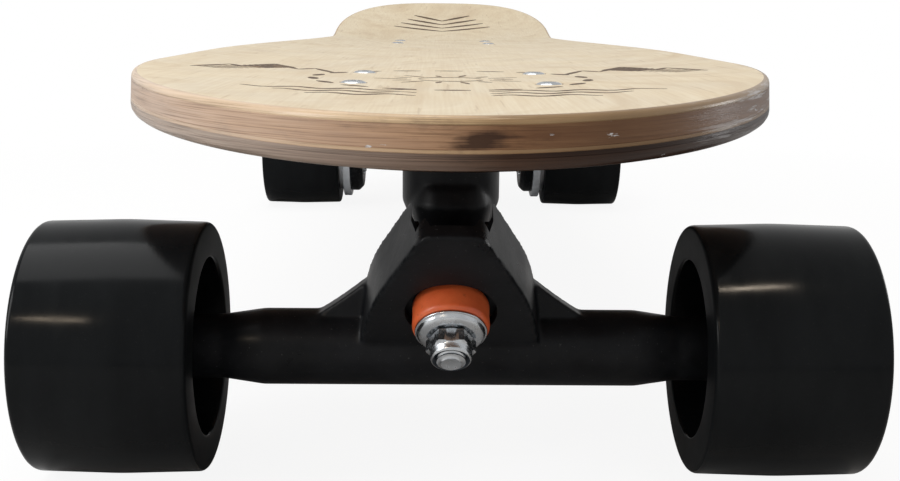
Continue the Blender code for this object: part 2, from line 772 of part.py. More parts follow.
def build_riser(end, base, underside, bolt_holes):
    riser = block(
        end + "_riser",
        (-PLATE_WIDTH / 2, -PLATE_SETBACK - PLATE_LENGTH / 2, PLATE_TOP + CLEAR),
        (PLATE_WIDTH / 2, -PLATE_SETBACK + PLATE_LENGTH / 2, PLATE_TOP + 2 * RISER_THICKNESS),
    )
    place(riser, base)
    cut(riser, underside, *bolt_holes)
    return finish(riser, RUBBER)


def mirrored(profile):
    """A profile of the outer half, run on through the middle plane to the other end."""
    return profile + [(radius, -height) for radius, height in reversed(profile)]


def front_bar_profile():
    face = FRONT_BAR_END - BAR_FACE_LENGTH
    return mirrored(
        [
            (0, FRONT_BAR_END),
            (BAR_FACE_RADIUS, FRONT_BAR_END),
            (BAR_FACE_RADIUS, face),
            (BAR_END_RADIUS, face),
            (BAR_END_RADIUS, BAR_HALF + BAR_TAPER),
            (BAR_RADIUS, BAR_HALF),
        ]
    )


def rear_bar_profile():
    return mirrored(
        [
            (0, REAR_BAR_END),
            (BAR_FACE_RADIUS + MOTOR_AXLE_RADIUS - AXLE_RADIUS, REAR_BAR_END),
            (BAR_RADIUS, REAR_BAR_END - BAR_TAPER / 2),
        ]
    )


def bearing(name, bore, radius, low, width):
    return finish(tube(name, bore, radius, low, low + width, BEARING_STEPS), STEEL)


def build_front_axle(steer):
    axle = turned(
        "front_axle",
        mirrored(
            [
                (0, FRONT_AXLE_HALF),
                (AXLE_RADIUS - AXLE_TIP / 2, FRONT_AXLE_HALF),
                (AXLE_RADIUS, FRONT_AXLE_HALF - AXLE_TIP / 2),
            ]
        ),
        SMALL_STEPS,
        ring=False,
    )
    place(axle, steer, (0, -SEAT_FORWARD, -SEAT_UP), (0, ALONG_AXLE, 0))
    finish(axle, STEEL)


def build_front_wheel(side, sign, axle_line):
    bore = AXLE_RADIUS + CLEAR
    seat = BEARING_RADIUS + CLEAR
    rim = CORE_RADIUS + CLEAR
    tire = turned(
        f"front_{side}_tire",
        [
            (WHEEL_RECESS_RADIUS, FRONT_WHEEL_OUTER),
            (WHEEL_RADIUS - WHEEL_ROUND, FRONT_WHEEL_OUTER),
            (WHEEL_RADIUS, FRONT_WHEEL_OUTER - WHEEL_ROUND),
            (WHEEL_RADIUS, WHEEL_INNER + WHEEL_ROUND),
            (WHEEL_RADIUS - WHEEL_ROUND, WHEEL_INNER),
            (WHEEL_RECESS_RADIUS, WHEEL_INNER),
            (WHEEL_RECESS_RADIUS, CORE_INNER),
            (rim, CORE_INNER),
            (rim, CORE_OUTER),
            (WHEEL_RECESS_RADIUS, CORE_OUTER),
        ],
        WHEEL_STEPS,
    )
    bearing_seat = BEARING_WIDTH + CLEAR
    groove_low = CORE_INNER + CORE_LIGHTENING_DEPTH
    groove_high = CORE_OUTER - CORE_LIGHTENING_DEPTH
    core = turned(
        f"front_{side}_wheel_core",
        [
            (CORE_RADIUS, CORE_OUTER),
            (CORE_RADIUS, CORE_INNER),
            (CORE_LIGHTENING_OUTER, CORE_INNER),
            (CORE_LIGHTENING_OUTER, groove_low),
            (CORE_LIGHTENING_INNER, groove_low),
            (CORE_LIGHTENING_INNER, CORE_INNER),
            (seat, CORE_INNER),
            (seat, CORE_INNER + bearing_seat),
            (CORE_SHOULDER_RADIUS, CORE_INNER + bearing_seat),
            (CORE_SHOULDER_RADIUS, CORE_OUTER - bearing_seat),
            (seat, CORE_OUTER - bearing_seat),
            (seat, CORE_OUTER),
            (CORE_LIGHTENING_INNER, CORE_OUTER),
            (CORE_LIGHTENING_INNER, groove_high),
            (CORE_LIGHTENING_OUTER, groove_high),
            (CORE_LIGHTENING_OUTER, CORE_OUTER),
        ],
        HUB_STEPS,
    )
    finish(tire, URETHANE)
    finish(core, PLASTIC)
    inner = bearing(f"front_{side}_inner_bearing", bore, BEARING_RADIUS, CORE_INNER, BEARING_WIDTH)
    outer_start = CORE_OUTER - BEARING_WIDTH
    outer = bearing(f"front_{side}_outer_bearing", bore, BEARING_RADIUS, outer_start, BEARING_WIDTH)
    nut_end = AXLE_NUT_START + AXLE_NUT_LENGTH
    nut = hex_nut(f"front_{side}_axle_nut", bore, AXLE_NUT_RADIUS, AXLE_NUT_START, nut_end)
    finish(nut, ZINC)
    for obj in (tire, core, inner, outer, nut):
        place(obj, axle_line, (0, 0, 0), (0, sign * ALONG_AXLE, 0))


def build_rear_axle(steer):
    axle = turned(
        "rear_axle",
        mirrored([(0, REAR_AXLE_HALF), (MOTOR_AXLE_RADIUS, REAR_AXLE_HALF)]),
        SMALL_STEPS,
        ring=False,
    )
    place(axle, steer, (0, -SEAT_FORWARD, -SEAT_UP), (0, ALONG_AXLE, 0))
    finish(axle, STEEL)


def build_hub_motor(side, sign, axle_line):
    bore = MOTOR_AXLE_RADIUS + CLEAR
    sleeve = CAN_RADIUS + CLEAR
    tire = turned(
        f"rear_{side}_tire",
        [
            (sleeve, REAR_TIRE_OUTER),
            (WHEEL_RADIUS - WHEEL_ROUND, REAR_TIRE_OUTER),
            (WHEEL_RADIUS, REAR_TIRE_OUTER - WHEEL_ROUND),
            (WHEEL_RADIUS, WHEEL_INNER + WHEEL_ROUND),
            (WHEEL_RADIUS - WHEEL_ROUND, WHEEL_INNER),
            (sleeve, WHEEL_INNER),
        ],
        WHEEL_STEPS,
    )
    can = turned(
        f"rear_{side}_motor_can",
        [
            (0, CAN_END),
            (CAN_RADIUS - CAN_CHAMFER, CAN_END),
            (CAN_RADIUS, CAN_END - CAN_CHAMFER),
            (CAN_RADIUS, CAN_START + CAN_FLANGE_LENGTH),
            (CAN_FLANGE_RADIUS, CAN_START + CAN_FLANGE_LENGTH),
            (CAN_FLANGE_RADIUS, CAN_START),
            (CAN_BORE, CAN_START),
            (CAN_BORE, CAN_FLOOR),
            (MOTOR_BEARING_POCKET, CAN_FLOOR),
            (MOTOR_BEARING_POCKET, CAN_POCKET_FLOOR),
            (0, CAN_POCKET_FLOOR),
        ],
        HUB_STEPS,
        ring=False,
    )
    inner_bearing_start = COVER_INNER - MOTOR_BEARING_WIDTH
    pocket_floor = inner_bearing_start - CLEAR
    cover = turned(
        f"rear_{side}_motor_cover",
        [
            (CAN_BORE - CLEAR, COVER_INNER),
            (CAN_BORE - CLEAR, COVER_END),
            (COVER_RADIUS, COVER_END),
            (COVER_RADIUS, COVER_START + COVER_CHAMFER),
            (COVER_RADIUS - COVER_CHAMFER, COVER_START),
            (MOTOR_BEARING_RADIUS - COVER_LIP, COVER_START),
            (MOTOR_BEARING_RADIUS - COVER_LIP, pocket_floor),
            (MOTOR_BEARING_POCKET, pocket_floor),
            (MOTOR_BEARING_POCKET, COVER_INNER),
        ],
        HUB_STEPS,
    )
    stator_radius = CAN_BORE - STATOR_GAP
    stator = turned(
        f"rear_{side}_motor_stator",
        [
            (bore, STATOR_END),
            (STATOR_WINDING_RADIUS, STATOR_END),
            (STATOR_WINDING_RADIUS, STATOR_END - STATOR_WINDING_LENGTH),
            (stator_radius, STATOR_END - STATOR_WINDING_LENGTH),
            (stator_radius, STATOR_START + STATOR_WINDING_LENGTH),
            (STATOR_WINDING_RADIUS, STATOR_START + STATOR_WINDING_LENGTH),
            (STATOR_WINDING_RADIUS, STATOR_START),
            (bore, STATOR_START),
        ],
        HUB_STEPS,
    )
    finish(tire, URETHANE)
    finish(can, ALUMINIUM)
    finish(cover, BLACK_METAL)
    finish(stator, COPPER)
    width = MOTOR_BEARING_WIDTH
    inner = bearing(f"rear_{side}_inner_bearing", bore, MOTOR_BEARING_RADIUS, inner_bearing_start, width)
    outer_start = CAN_POCKET_FLOOR - CLEAR - width
    outer = bearing(f"rear_{side}_outer_bearing", bore, MOTOR_BEARING_RADIUS, outer_start, width)
    for obj in (tire, can, cover, stator, inner, outer):
        place(obj, axle_line, (0, 0, 0), (0, sign * ALONG_AXLE, 0))


def build_tray_screws():
    """Four screws through the tray's flange into the deck. Returns the holes that they need."""
    holes = []
    head_top = DECK_BOTTOM - FLANGE_THICKNESS - CLEAR
    tip = DECK_BOTTOM + TRAY_SCREW_BITE
    x = TRAY_HALF + FLANGE_WIDTH / 2
    corners = [(sx, y) for sx in (-1, 1) for y in (TRAY_START, TRAY_END)]
    for number, (sx, end) in enumerate(corners, 1):
        inward = 1 if end == TRAY_START else -1
        name = f"tray_screw_{number}"
        screw = turned(
            name,
            [
                (0, tip),
                (TRAY_SCREW_RADIUS, tip),
                (TRAY_SCREW_RADIUS, head_top),
                (TRAY_SCREW_HEAD_RADIUS, head_top),
                (TRAY_SCREW_HEAD_RADIUS, head_top - TRAY_SCREW_HEAD_LENGTH),
                (0, head_top - TRAY_SCREW_HEAD_LENGTH),
            ],
            SMALL_STEPS,
            ring=False,
        )
        low = head_top - FLANGE_THICKNESS
        hole = cylinder(name + "_hole", TRAY_SCREW_RADIUS + CLEAR, low, tip + CLEAR, SMALL_STEPS)
        for obj in (screw, hole):
            place(obj, None, (sx * x, end + inward * TRAY_SCREW_END_INSET, 0))
        finish(screw, ZINC)
        holes.append(as_helper(hole))
    return holes


def build_tray(underside, screw_holes):
    above = DECK_BOTTOM + DECK_THICKNESS / 2
    tray = block(
        "tray",
        (-TRAY_HALF, TRAY_START, TRAY_BOTTOM),
        (TRAY_HALF, TRAY_END, above + TRAY_ROUND),
        TRAY_ROUND,
    )
    flange = block(
        "tray_flange",
        (-TRAY_HALF - FLANGE_WIDTH, TRAY_START - FLANGE_WIDTH, DECK_BOTTOM - FLANGE_THICKNESS),
        (TRAY_HALF + FLANGE_WIDTH, TRAY_END + FLANGE_WIDTH, above),
    )
    inside = block(
        "tray_inside",
        (-TRAY_HALF + TRAY_WALL, TRAY_START + TRAY_WALL, TRAY_FLOOR),
        (TRAY_HALF - TRAY_WALL, TRAY_END - TRAY_WALL, above + 2 * TRAY_ROUND),
        TRAY_ROUND - TRAY_WALL,
    )
    through = 2 * TRAY_WALL
    port_hole = cylinder("port_hole", CHARGE_PORT_RADIUS + CLEAR, -through, through, SMALL_STEPS)
    place(port_hole, None, (TRAY_HALF, CHARGE_PORT_PLACE, SIDE_FITTING_UP), (0, ALONG_AXLE, 0))
    button_hole = cylinder("button_hole", BUTTON_RADIUS + CLEAR, -through, through, SMALL_STEPS)
    place(button_hole, None, (TRAY_HALF, BUTTON_PLACE, SIDE_FITTING_UP), (0, ALONG_AXLE, 0))
    outlets = []
    for sign in (-1, 1):
        outlet = cylinder(f"outlet_{sign}", OUTLET_RADIUS, -through, through, SMALL_STEPS)
        spot = (sign * OUTLET_SPACING / 2, TRAY_END, SIDE_FITTING_UP)
        outlets.append(place(outlet, None, spot, (math.pi / 2, 0, 0)))
    join(tray, flange)
    cut(tray, inside, underside, port_hole, button_hole, *outlets, *screw_holes)
    finish(tray, PLASTIC)


def build_battery():
    """Two columns of round cells under one shrink wrap, which dips between the cells."""
    start = TRAY_START + TRAY_WALL + PACK_END_GAP
    end = start + CELL_ROWS * CELL_PITCH
    low = TRAY_FLOOR + CLEAR
    outline = [(start, low)]
    for row in range(CELL_ROWS):
        middle = start + (row + 0.5) * CELL_PITCH
        for angle in (130, 105, 75, 50):
            turn = math.radians(angle)
            y = middle + CELL_RADIUS * math.cos(turn)
            outline.append((y, low + CELL_RADIUS * (1 + math.sin(turn))))
    outline.append((end, low))
    pack = prism("battery_pack", outline, CELL_COLUMNS * CELL_LENGTH)
    place(pack, None, (0, 0, 0), (math.pi / 2, 0, math.pi / 2))
    finish(pack, WRAP)


def build_controller():
    """The speed controller, a finned block on the tray's floor."""
    low = TRAY_FLOOR + CLEAR
    half = CONTROLLER_WIDTH / 2
    fin = CONTROLLER_WIDTH / (2 * CONTROLLER_FINS - 1)
    outline = [(-half, low), (half, low)]
    for number in range(CONTROLLER_FINS):
        right = half - 2 * fin * number
        outline += [
            (right, low + CONTROLLER_BASE),
            (right, low + CONTROLLER_HEIGHT),
            (right - fin, low + CONTROLLER_HEIGHT),
            (right - fin, low + CONTROLLER_BASE),
        ]
    middle = TRAY_END - TRAY_WALL - CONTROLLER_END_GAP - CONTROLLER_LENGTH / 2
    controller = prism("speed_controller", outline, CONTROLLER_LENGTH)
    place(controller, None, (0, middle, 0), (math.pi / 2, 0, 0))
    finish(controller, ALUMINIUM)


def build_side_fittings():
    """The charge port and the power button in the tray's right wall."""
    face = CHARGE_PORT_FLANGE_LENGTH + CLEAR
    back = face - CHARGE_PORT_LENGTH
    port = turned(
        "charge_port",
        [
            (0, back + CHARGE_PORT_FLOOR),
            (CHARGE_PORT_BORE, back + CHARGE_PORT_FLOOR),
            (CHARGE_PORT_BORE, face),
            (CHARGE_PORT_FLANGE_RADIUS, face),
            (CHARGE_PORT_FLANGE_RADIUS, CLEAR),
            (CHARGE_PORT_RADIUS, CLEAR),
            (CHARGE_PORT_RADIUS, back),
            (0, back),
        ],
        SMALL_STEPS,
        ring=False,
    )
    place(port, None, (TRAY_HALF, CHARGE_PORT_PLACE, SIDE_FITTING_UP), (0, ALONG_AXLE, 0))
    finish(port, PLASTIC)
    stop = -TRAY_WALL - CLEAR
    button = turned(
        "power_button",
        [
            (0, BUTTON_PROUD),
            (BUTTON_RADIUS - CLEAR, BUTTON_PROUD),
            (BUTTON_RADIUS, BUTTON_PROUD - CLEAR),
            (BUTTON_RADIUS, stop),
            (BUTTON_FLANGE_RADIUS, stop),
            (BUTTON_FLANGE_RADIUS, stop - BUTTON_FLANGE_LENGTH),
            (0, stop - BUTTON_FLANGE_LENGTH),
        ],
        SMALL_STEPS,
        ring=False,
    )
    place(button, None, (TRAY_HALF, BUTTON_PLACE, SIDE_FITTING_UP), (0, ALONG_AXLE, 0))
    finish(button, ZINC)


def build_truck(end, axle_y, facing, bar_profile, axle_bore, deck, underside):
    """One truck. Facing is -1 where its forward side points to the nose, and 1 to the tail."""
    base = new_empty(end + "_truck", None, (0, axle_y, AXLE_UP), math.pi if facing < 0 else 0)
    steer = new_empty(end + "_steering", base, SEAT)
    holes = build_truck_bolts(end, base, axle_y, facing)
    cut(deck, *holes)
    build_riser(end, base, underside, holes)
    build_baseplate(end, base, holes)
    build_hanger(end, base, steer, bar_profile, axle_bore)
    build_kingpin_stack(end, base)
    return steer


def main():
    deck = build_deck()
    underside = as_helper(deck_sheet("deck_underside", DECK_THICKNESS + CLEAR, 1))
    front_steer = build_truck(
        "front", FRONT_AXLE, -1, front_bar_profile(), AXLE_RADIUS + CLEAR, deck, underside
    )
    rear_steer = build_truck(
        "rear", REAR_AXLE, 1, rear_bar_profile(), MOTOR_AXLE_RADIUS + CLEAR, deck, underside
    )
    build_front_axle(front_steer)
    build_rear_axle(rear_steer)
    front_line = new_empty("front_axle_line", None, (0, FRONT_AXLE, AXLE_UP))
    rear_line = new_empty("rear_axle_line", None, (0, REAR_AXLE, AXLE_UP))
    for side, sign in (("left", -1), ("right", 1)):
        build_front_wheel(side, sign, front_line)
        build_hub_motor(side, sign, rear_line)
    screw_holes = build_tray_screws()
    cut(deck, *screw_holes)
    build_tray(underside, screw_holes)
    build_battery()
    build_controller()
    build_side_fittings()


main()
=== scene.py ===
from math import atan, cos, pi, radians, sin, sqrt

import bmesh
import bpy
from mathutils import Euler, Matrix, Vector


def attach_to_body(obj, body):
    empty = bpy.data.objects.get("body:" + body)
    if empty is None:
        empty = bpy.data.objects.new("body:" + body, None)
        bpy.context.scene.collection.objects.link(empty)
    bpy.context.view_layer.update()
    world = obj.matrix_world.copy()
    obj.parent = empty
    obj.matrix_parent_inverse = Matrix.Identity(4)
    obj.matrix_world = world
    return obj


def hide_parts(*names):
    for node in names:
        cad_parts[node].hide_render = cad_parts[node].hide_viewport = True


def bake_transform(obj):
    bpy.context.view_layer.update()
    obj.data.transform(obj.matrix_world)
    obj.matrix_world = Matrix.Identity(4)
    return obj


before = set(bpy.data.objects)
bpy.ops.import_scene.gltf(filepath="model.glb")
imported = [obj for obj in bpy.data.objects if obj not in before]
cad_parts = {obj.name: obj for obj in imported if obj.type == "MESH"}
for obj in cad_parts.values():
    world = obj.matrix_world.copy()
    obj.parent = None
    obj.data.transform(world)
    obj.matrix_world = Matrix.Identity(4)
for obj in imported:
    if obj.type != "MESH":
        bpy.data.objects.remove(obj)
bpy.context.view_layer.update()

# Sizes in metres, as in the part's source
CLEAR = 0.0003
DECK_THICKNESS = 0.0145
DECK_WIDE_HALF = 0.126
DECK_WAIST_HALF = 0.096
DECK_NOSE_LENGTH = 0.225
DECK_WAIST_START = 0.332
DECK_WAIST_LENGTH = 0.46
DECK_TAIL_LENGTH = 0.105
DECK_TAIL_SQUARENESS = 2.7
DECK_CONCAVE = 0.0045
KICK_LENGTH = 0.135
KICK_RISE = 0.0325
KICK_CURVE = 1.5
NOSE_END = -0.446
TAIL_END = 0.446
DECK_TOP = 0.1375
DECK_BOTTOM = DECK_TOP - DECK_THICKNESS
KICK_ANGLE = atan(KICK_CURVE * KICK_RISE / KICK_LENGTH)
TOP_END = TAIL_END - DECK_THICKNESS * sin(KICK_ANGLE)

AXLES = {"front": -0.334, "rear": 0.266}
AXLE_UP = 0.045
SEAT = (0, 0.0195, 0.0244)
KINGPIN_TILT = radians(40)
PIVOT_TILT = radians(36)
ALONG_KINGPIN = (-(pi / 2 + KINGPIN_TILT), 0, 0)
ALONG_PIVOT = (pi / 2 + PIVOT_TILT, 0, 0)
ALONG_AXLE = (0, pi / 2, 0)

WHEEL_RADIUS = 0.045
WHEEL_INNER = 0.0854
FRONT_WHEEL_OUTER = 0.1438
WHEEL_RECESS_RADIUS = 0.0316
CORE_INNER = 0.0999
CORE_OUTER = 0.1293
CORE_RADIUS = 0.0265
REAR_TIRE_OUTER = 0.1474

BOLT_X = 0.035
BOLT_Y = 0.034
BOLT_SETBACK = 0.05
BOLT_CORNERS = [(sx * BOLT_X, sy * BOLT_Y - BOLT_SETBACK, 0) for sx in (-1, 1) for sy in (-1, 1)]

ENDS = ("front", "rear")
SIDES = (("left", -1), ("right", 1))


# Materials: every one is made of nodes, in metres of the object's own frame


# Where a Mix node has its colours
MIX_A = 6
MIX_B = 7
MIX_RESULT = 2


def shade(color, gain):
    return tuple(min(1, c * gain) for c in color)


def rgba(color):
    """A colour for a socket. One number stands for a grey."""
    return (*color, 1) if isinstance(color, tuple) else (color, color, color, 1)


class Nodes:
    """The node tree of a material or of the sky."""

    def __init__(self, owner):
        owner.use_nodes = True
        self.tree = owner.node_tree

    def node(self, kind, inputs=None, **settings):
        made = self.tree.nodes.new("ShaderNode" + kind)
        for key, value in settings.items():
            setattr(made, key, value)
        for key, value in (inputs or {}).items():
            self.feed(made.inputs[key], value)
        return made

    def feed(self, socket, value):
        if isinstance(value, bpy.types.NodeSocket):
            self.tree.links.new(value, socket)
        else:
            socket.default_value = value


class Paint(Nodes):
    """A Principled material with short calls for the nodes that feed it."""

    def __init__(self, name, **fixed):
        self.material = bpy.data.materials.new(name)
        super().__init__(self.material)
        self.shader = self.tree.nodes["Principled BSDF"]
        self.where = self.node("TexCoord").outputs["Object"]
        for key, value in fixed.items():
            self.shader.inputs[key.replace("_", " ")].default_value = value

    def tint(self, socket, color):
        self.feed(socket, color if isinstance(color, bpy.types.NodeSocket) else rgba(color))

    def stretch(self, scale, where=None):
        return self.node("Mapping", {"Vector": where or self.where, "Scale": scale}).outputs[0]

    def noise(self, scale, detail=3, rough=0.5, where=None):
        inputs = {"Vector": where or self.where, "Scale": scale, "Detail": detail, "Roughness": rough}
        return self.node("TexNoise", inputs).outputs[0]

    def streaks(self, scale, detail=3, rough=0.5, where=None):
        return self.noise(1, detail, rough, self.stretch(scale, where))

    def ramp(self, value, *stops):
        made = self.node("ValToRGB", {0: value})
        elements = made.color_ramp.elements
        while len(elements) < len(stops):
            elements.new(0.5)
        for element, (position, color) in zip(elements, stops):
            element.position = position
            element.color = rgba(color)
        return made.outputs[0]

    def span(self, value, low, high):
        return self.ramp(value, (0.3, low), (0.7, high))

    def math(self, operation, a, b):
        return self.node("Math", {0: a, 1: b}, operation=operation).outputs[0]

    def plus(self, a, b):
        return self.math("ADD", a, b)

    def times(self, a, b):
        return self.math("MULTIPLY", a, b)

    def vector(self, operation, *values):
        return self.node("VectorMath", dict(enumerate(values)), operation=operation).outputs

    def mix(self, share, a, b):
        made = self.node("Mix", data_type="RGBA")
        self.feed(made.inputs[0], share)
        self.tint(made.inputs[MIX_A], a)
        self.tint(made.inputs[MIX_B], b)
        return made.outputs[MIX_RESULT]

    def axis(self, letter):
        return self.node("SeparateXYZ", {0: self.where}).outputs[letter]

    def done(self, color, rough, height, distance, strength):
        """Feeds the shader its colour, roughness and bump, and gives the material."""
        bump = self.node("Bump", {"Height": height, "Distance": distance, "Strength": strength})
        values = (("Base Color", color), ("Roughness", rough), ("Normal", bump.outputs[0]))
        for key, value in values:
            self.feed(self.shader.inputs[key], value)
        return self.material


def top_veneer():
    """Pale maple veneer, its grain along the board, with fine pores and slow waves of colour."""
    p = Paint("top_veneer", Coat_Weight=0.15, Coat_Roughness=0.3)
    sway = p.noise(5, 1)
    bent = p.vector("ADD", p.where, p.mix(0.5, 0, sway))[0]
    grain = p.streaks((55, 2.2, 55), 6, 0.62, bent)
    fibre = p.streaks((900, 14, 900), 2)
    pore = p.streaks((420, 22, 420), 2)
    base = p.ramp(
        grain, (0.28, (0.6, 0.475, 0.315)), (0.48, (0.715, 0.61, 0.435)), (0.7, (0.77, 0.68, 0.51))
    )
    base = p.mix(p.ramp(fibre, (0.35, 0.4), (0.65, 0)), base, (0.6, 0.47, 0.3))
    base = p.mix(p.ramp(pore, (0.27, 0.35), (0.36, 0)), base, (0.36, 0.24, 0.13))
    scuff = p.noise(42, 5, 0.7)
    base = p.mix(p.ramp(scuff, (0.6, 0), (0.76, 0.3)), base, (0.84, 0.74, 0.57))
    rough = p.span(p.noise(30, 4), 0.42, 0.62)
    return p.done(base, rough, p.plus(fibre, p.times(pore, 2.0)), 0.00006, 0.5)


KNOT_SPOT = (0.006, NOSE_END, DECK_TOP - 0.0066)
KNOT_BROWN = (0.036, 0.014, 0.006)
# Painted highlight: the pale tint of the streaks painted on the left end of the nose's edge, and how
# strongly it is mixed in
LEFT_HIGHLIGHT_TINT = (0.84, 0.7, 0.59)
LEFT_HIGHLIGHT_SHARE = 0.75
# Pale fibre in the chips, also the colour of the painted highlight flakes at the right end
TORN_FIBRE_AND_HIGHLIGHT = (0.68, 0.67, 0.68)


def ply_grain(p, pale, deep, streak, line):
    cloud = p.streaks((26, 10, 90))
    both = p.plus(p.times(streak, 0.55), p.times(cloud, 0.5))
    base = p.ramp(both, (0.38, deep), (0.66, pale))
    blotch = p.streaks((60, 40, 160), 5, 0.7)
    base = p.mix(p.ramp(blotch, (0.54, 0), (0.7, 0.6)), base, shade(deep, 0.55))
    return p.mix(p.ramp(line, (0.34, 0.55), (0.46, 0)), base, shade(deep, 0.4))


def ply_painted_light(p, base, pale, deep, line, across, noseward):
    """Painted light at the nose: pale highlight streaks along the rim of the left end, and painted shade
    that darkens the right end.
    """
    leftward = p.times(noseward, p.ramp(across, (0.0, 0.9), (0.28, 0.55), (0.55, 0)))
    # Painted highlight: pale streaks along the rim on the left end
    left_highlight = p.times(leftward, p.ramp(line, (0.3, 0.5), (0.6, 1)))
    highlight_tint = tuple((1 - LEFT_HIGHLIGHT_SHARE) * c + LEFT_HIGHLIGHT_SHARE * t for c, t in zip(pale, LEFT_HIGHLIGHT_TINT))
    base = p.mix(left_highlight, base, highlight_tint)
    # Painted shade: the right end of the nose's edge is darkened
    right_shade = p.times(noseward, p.ramp(across, (0.48, 0), (0.66, 0.8), (0.9, 0.72)))
    return p.mix(right_shade, base, shade(deep, 0.5))


def ply_knot(p, base, streak, knot):
    spot = p.stretch((78, 20, 250), p.vector("SUBTRACT", p.where, KNOT_SPOT)[0])
    far = p.vector("LENGTH", spot)["Value"]
    far = p.times(p.plus(far, p.times(p.noise(160, 4), 0.9)), 0.45)
    far = p.plus(far, p.times(streak, 0.9))
    return p.mix(p.ramp(far, (0.78, knot), (1.1, 0)), base, KNOT_BROWN)


def ply_chips_and_highlight(p, chips, across, noseward):
    """Where the wood is chipped: nicks all along, and long pale flakes at the right end of the nose that
    are partly chips and partly a painted highlight.
    """
    nick = p.streaks((75, 75, 260), 5, 0.7)
    nicked = p.ramp(nick, (0.7 - chips, 0), (0.735 - chips, 1))
    # Partly chips and partly painted highlight: long pale flakes along the rim at the right end
    flake_and_highlight_noise = p.streaks((34, 16, 460), 6, 0.7)
    right = p.times(noseward, p.ramp(across, (0.74, 0), (0.9, 0.85)))
    flakes_and_highlight = p.times(right, p.ramp(flake_and_highlight_noise, (0.53, 0), (0.62, 1)))
    return p.math("MAXIMUM", nicked, flakes_and_highlight)


def ply(name, pale, deep, chips, varnish=0.2, knot=0.0):
    """One ply seen on the deck's edge: streaks along the rim, varnish, chips down to pale fibre, and
    painted light at the nose: highlight streaks on the left end, and on the right end painted shade and
    pale flakes that are partly painted highlight.
    """
    p = Paint(name, Specular_IOR_Level=0.2, Coat_Weight=varnish, Coat_Roughness=0.18)
    streak = p.streaks((22, 14, 620), 5, 0.65)
    line = p.streaks((30, 30, 2600), 2)
    across = p.plus(p.times(p.axis("X"), 3.9), 0.5)
    back = p.times(p.math("SUBTRACT", p.axis("Y"), NOSE_END), 3.0)
    noseward = p.ramp(back, (0.55, 1), (1.0, 0))
    base = ply_grain(p, pale, deep, streak, line)
    base = ply_painted_light(p, base, pale, deep, line, across, noseward)
    if knot:
        base = ply_knot(p, base, streak, knot)
    share = ply_chips_and_highlight(p, chips, across, noseward)
    rough = p.mix(share, p.span(streak, 0.26, 0.42), 0.6)
    # Pale torn fibre in the nicks, and the painted highlight of the right end's flakes
    base = p.mix(share, base, TORN_FIBRE_AND_HIGHLIGHT)
    relief = p.math("SUBTRACT", streak, p.times(share, 2.0))
    return p.done(base, rough, relief, 0.00012, 0.6)


def underside_veneer():
    p = Paint("underside_veneer", Coat_Weight=0.4, Coat_Roughness=0.2)
    grain = p.streaks((60, 2.4, 60), 6, 0.6)
    pore = p.streaks((480, 20, 480), 2)
    base = p.span(grain, (0.23, 0.125, 0.075), (0.37, 0.22, 0.14))
    base = p.mix(p.ramp(pore, (0.28, 0.6), (0.38, 0)), base, (0.12, 0.06, 0.035))
    return p.done(base, p.span(grain, 0.34, 0.5), pore, 0.00006, 0.5)


def burnt_line():
    """Scorched lines in the veneer, uneven as a hot tip leaves them."""
    p = Paint("burnt_line")
    speck = p.noise(900, 3, 0.6)
    drag = p.streaks((160, 60, 160), 3)
    base = p.ramp(speck, (0.3, (0.03, 0.018, 0.01)), (0.72, (0.16, 0.1, 0.055)))
    base = p.mix(p.ramp(drag, (0.6, 0), (0.76, 0.6)), base, (0.36, 0.24, 0.13))
    return p.done(base, p.span(speck, 0.6, 0.8), speck, 0.00008, 0.6)


def urethane(name, sheen, low, high):
    """Cast black urethane: a deep gloss with handling smears, fine lines and dust."""
    p = Paint(name, Specular_IOR_Level=sheen)
    smear = p.streaks((60, 22, 22), 5, 0.6)
    dust = p.noise(1600, 2)
    line = p.streaks((1500, 20, 20), 2)
    base = p.ramp(smear, (0.3, (0.004, 0.0047, 0.0054)), (0.75, (0.008, 0.0092, 0.0102)))
    base = p.mix(p.ramp(dust, (0.66, 0), (0.78, 0.25)), base, 0.045)
    rough = p.ramp(smear, (0.3, low), (0.72, high))
    return p.done(base, rough, p.plus(line, p.times(dust, 0.4)), 0.00003, 0.35)


def black_paint(name, gloss_low, gloss_high, peel):
    """Black paint over a casting: orange peel, rubbed spots and specks."""
    p = Paint(name, Specular_IOR_Level=0.14)
    skin = p.noise(700, 2)
    rub = p.noise(70, 5, 0.65)
    speck = p.noise(1400, 1)
    base = p.ramp(rub, (0.32, (0.005, 0.0055, 0.0065)), (0.75, (0.0125, 0.0135, 0.0155)))
    base = p.mix(p.ramp(speck, (0.72, 0), (0.8, 0.5)), base, 0.1)
    return p.done(base, p.ramp(rub, (0.3, gloss_low), (0.72, gloss_high)), skin, peel, 0.5)


def bright_metal(name, tint, low, high, brushed, stains=0.55, metal=1.0, spots=240):
    """Plated or turned metal with fine scratches one way and dull spots."""
    p = Paint(name, Metallic=metal)
    scratch = p.streaks(brushed, 4, 0.6)
    dull = p.noise(spots, 4, 0.6)
    base = p.span(dull, shade(tint, 0.82), tint)
    stain = p.noise(520, 2)
    base = p.mix(p.ramp(stain, (0.68, 0), (0.8, stains)), base, shade(tint, 0.42))
    wear = p.plus(p.times(scratch, 0.5), p.times(dull, 0.5))
    return p.done(base, p.ramp(wear, (0.34, low), (0.66, high)), scratch, 0.00002, 0.5)


def bushing_urethane():
    p = Paint("orange_urethane", Subsurface_Weight=0.12, Subsurface_Scale=0.002, Coat_Weight=0.15)
    cloud = p.noise(120, 4)
    grime = p.noise(420, 4, 0.7)
    base = p.span(cloud, (0.66, 0.11, 0.03), (0.82, 0.165, 0.05))
    base = p.mix(p.ramp(grime, (0.6, 0), (0.76, 0.55)), base, (0.16, 0.045, 0.02))
    return p.done(base, p.span(cloud, 0.3, 0.48), grime, 0.00006, 0.4)


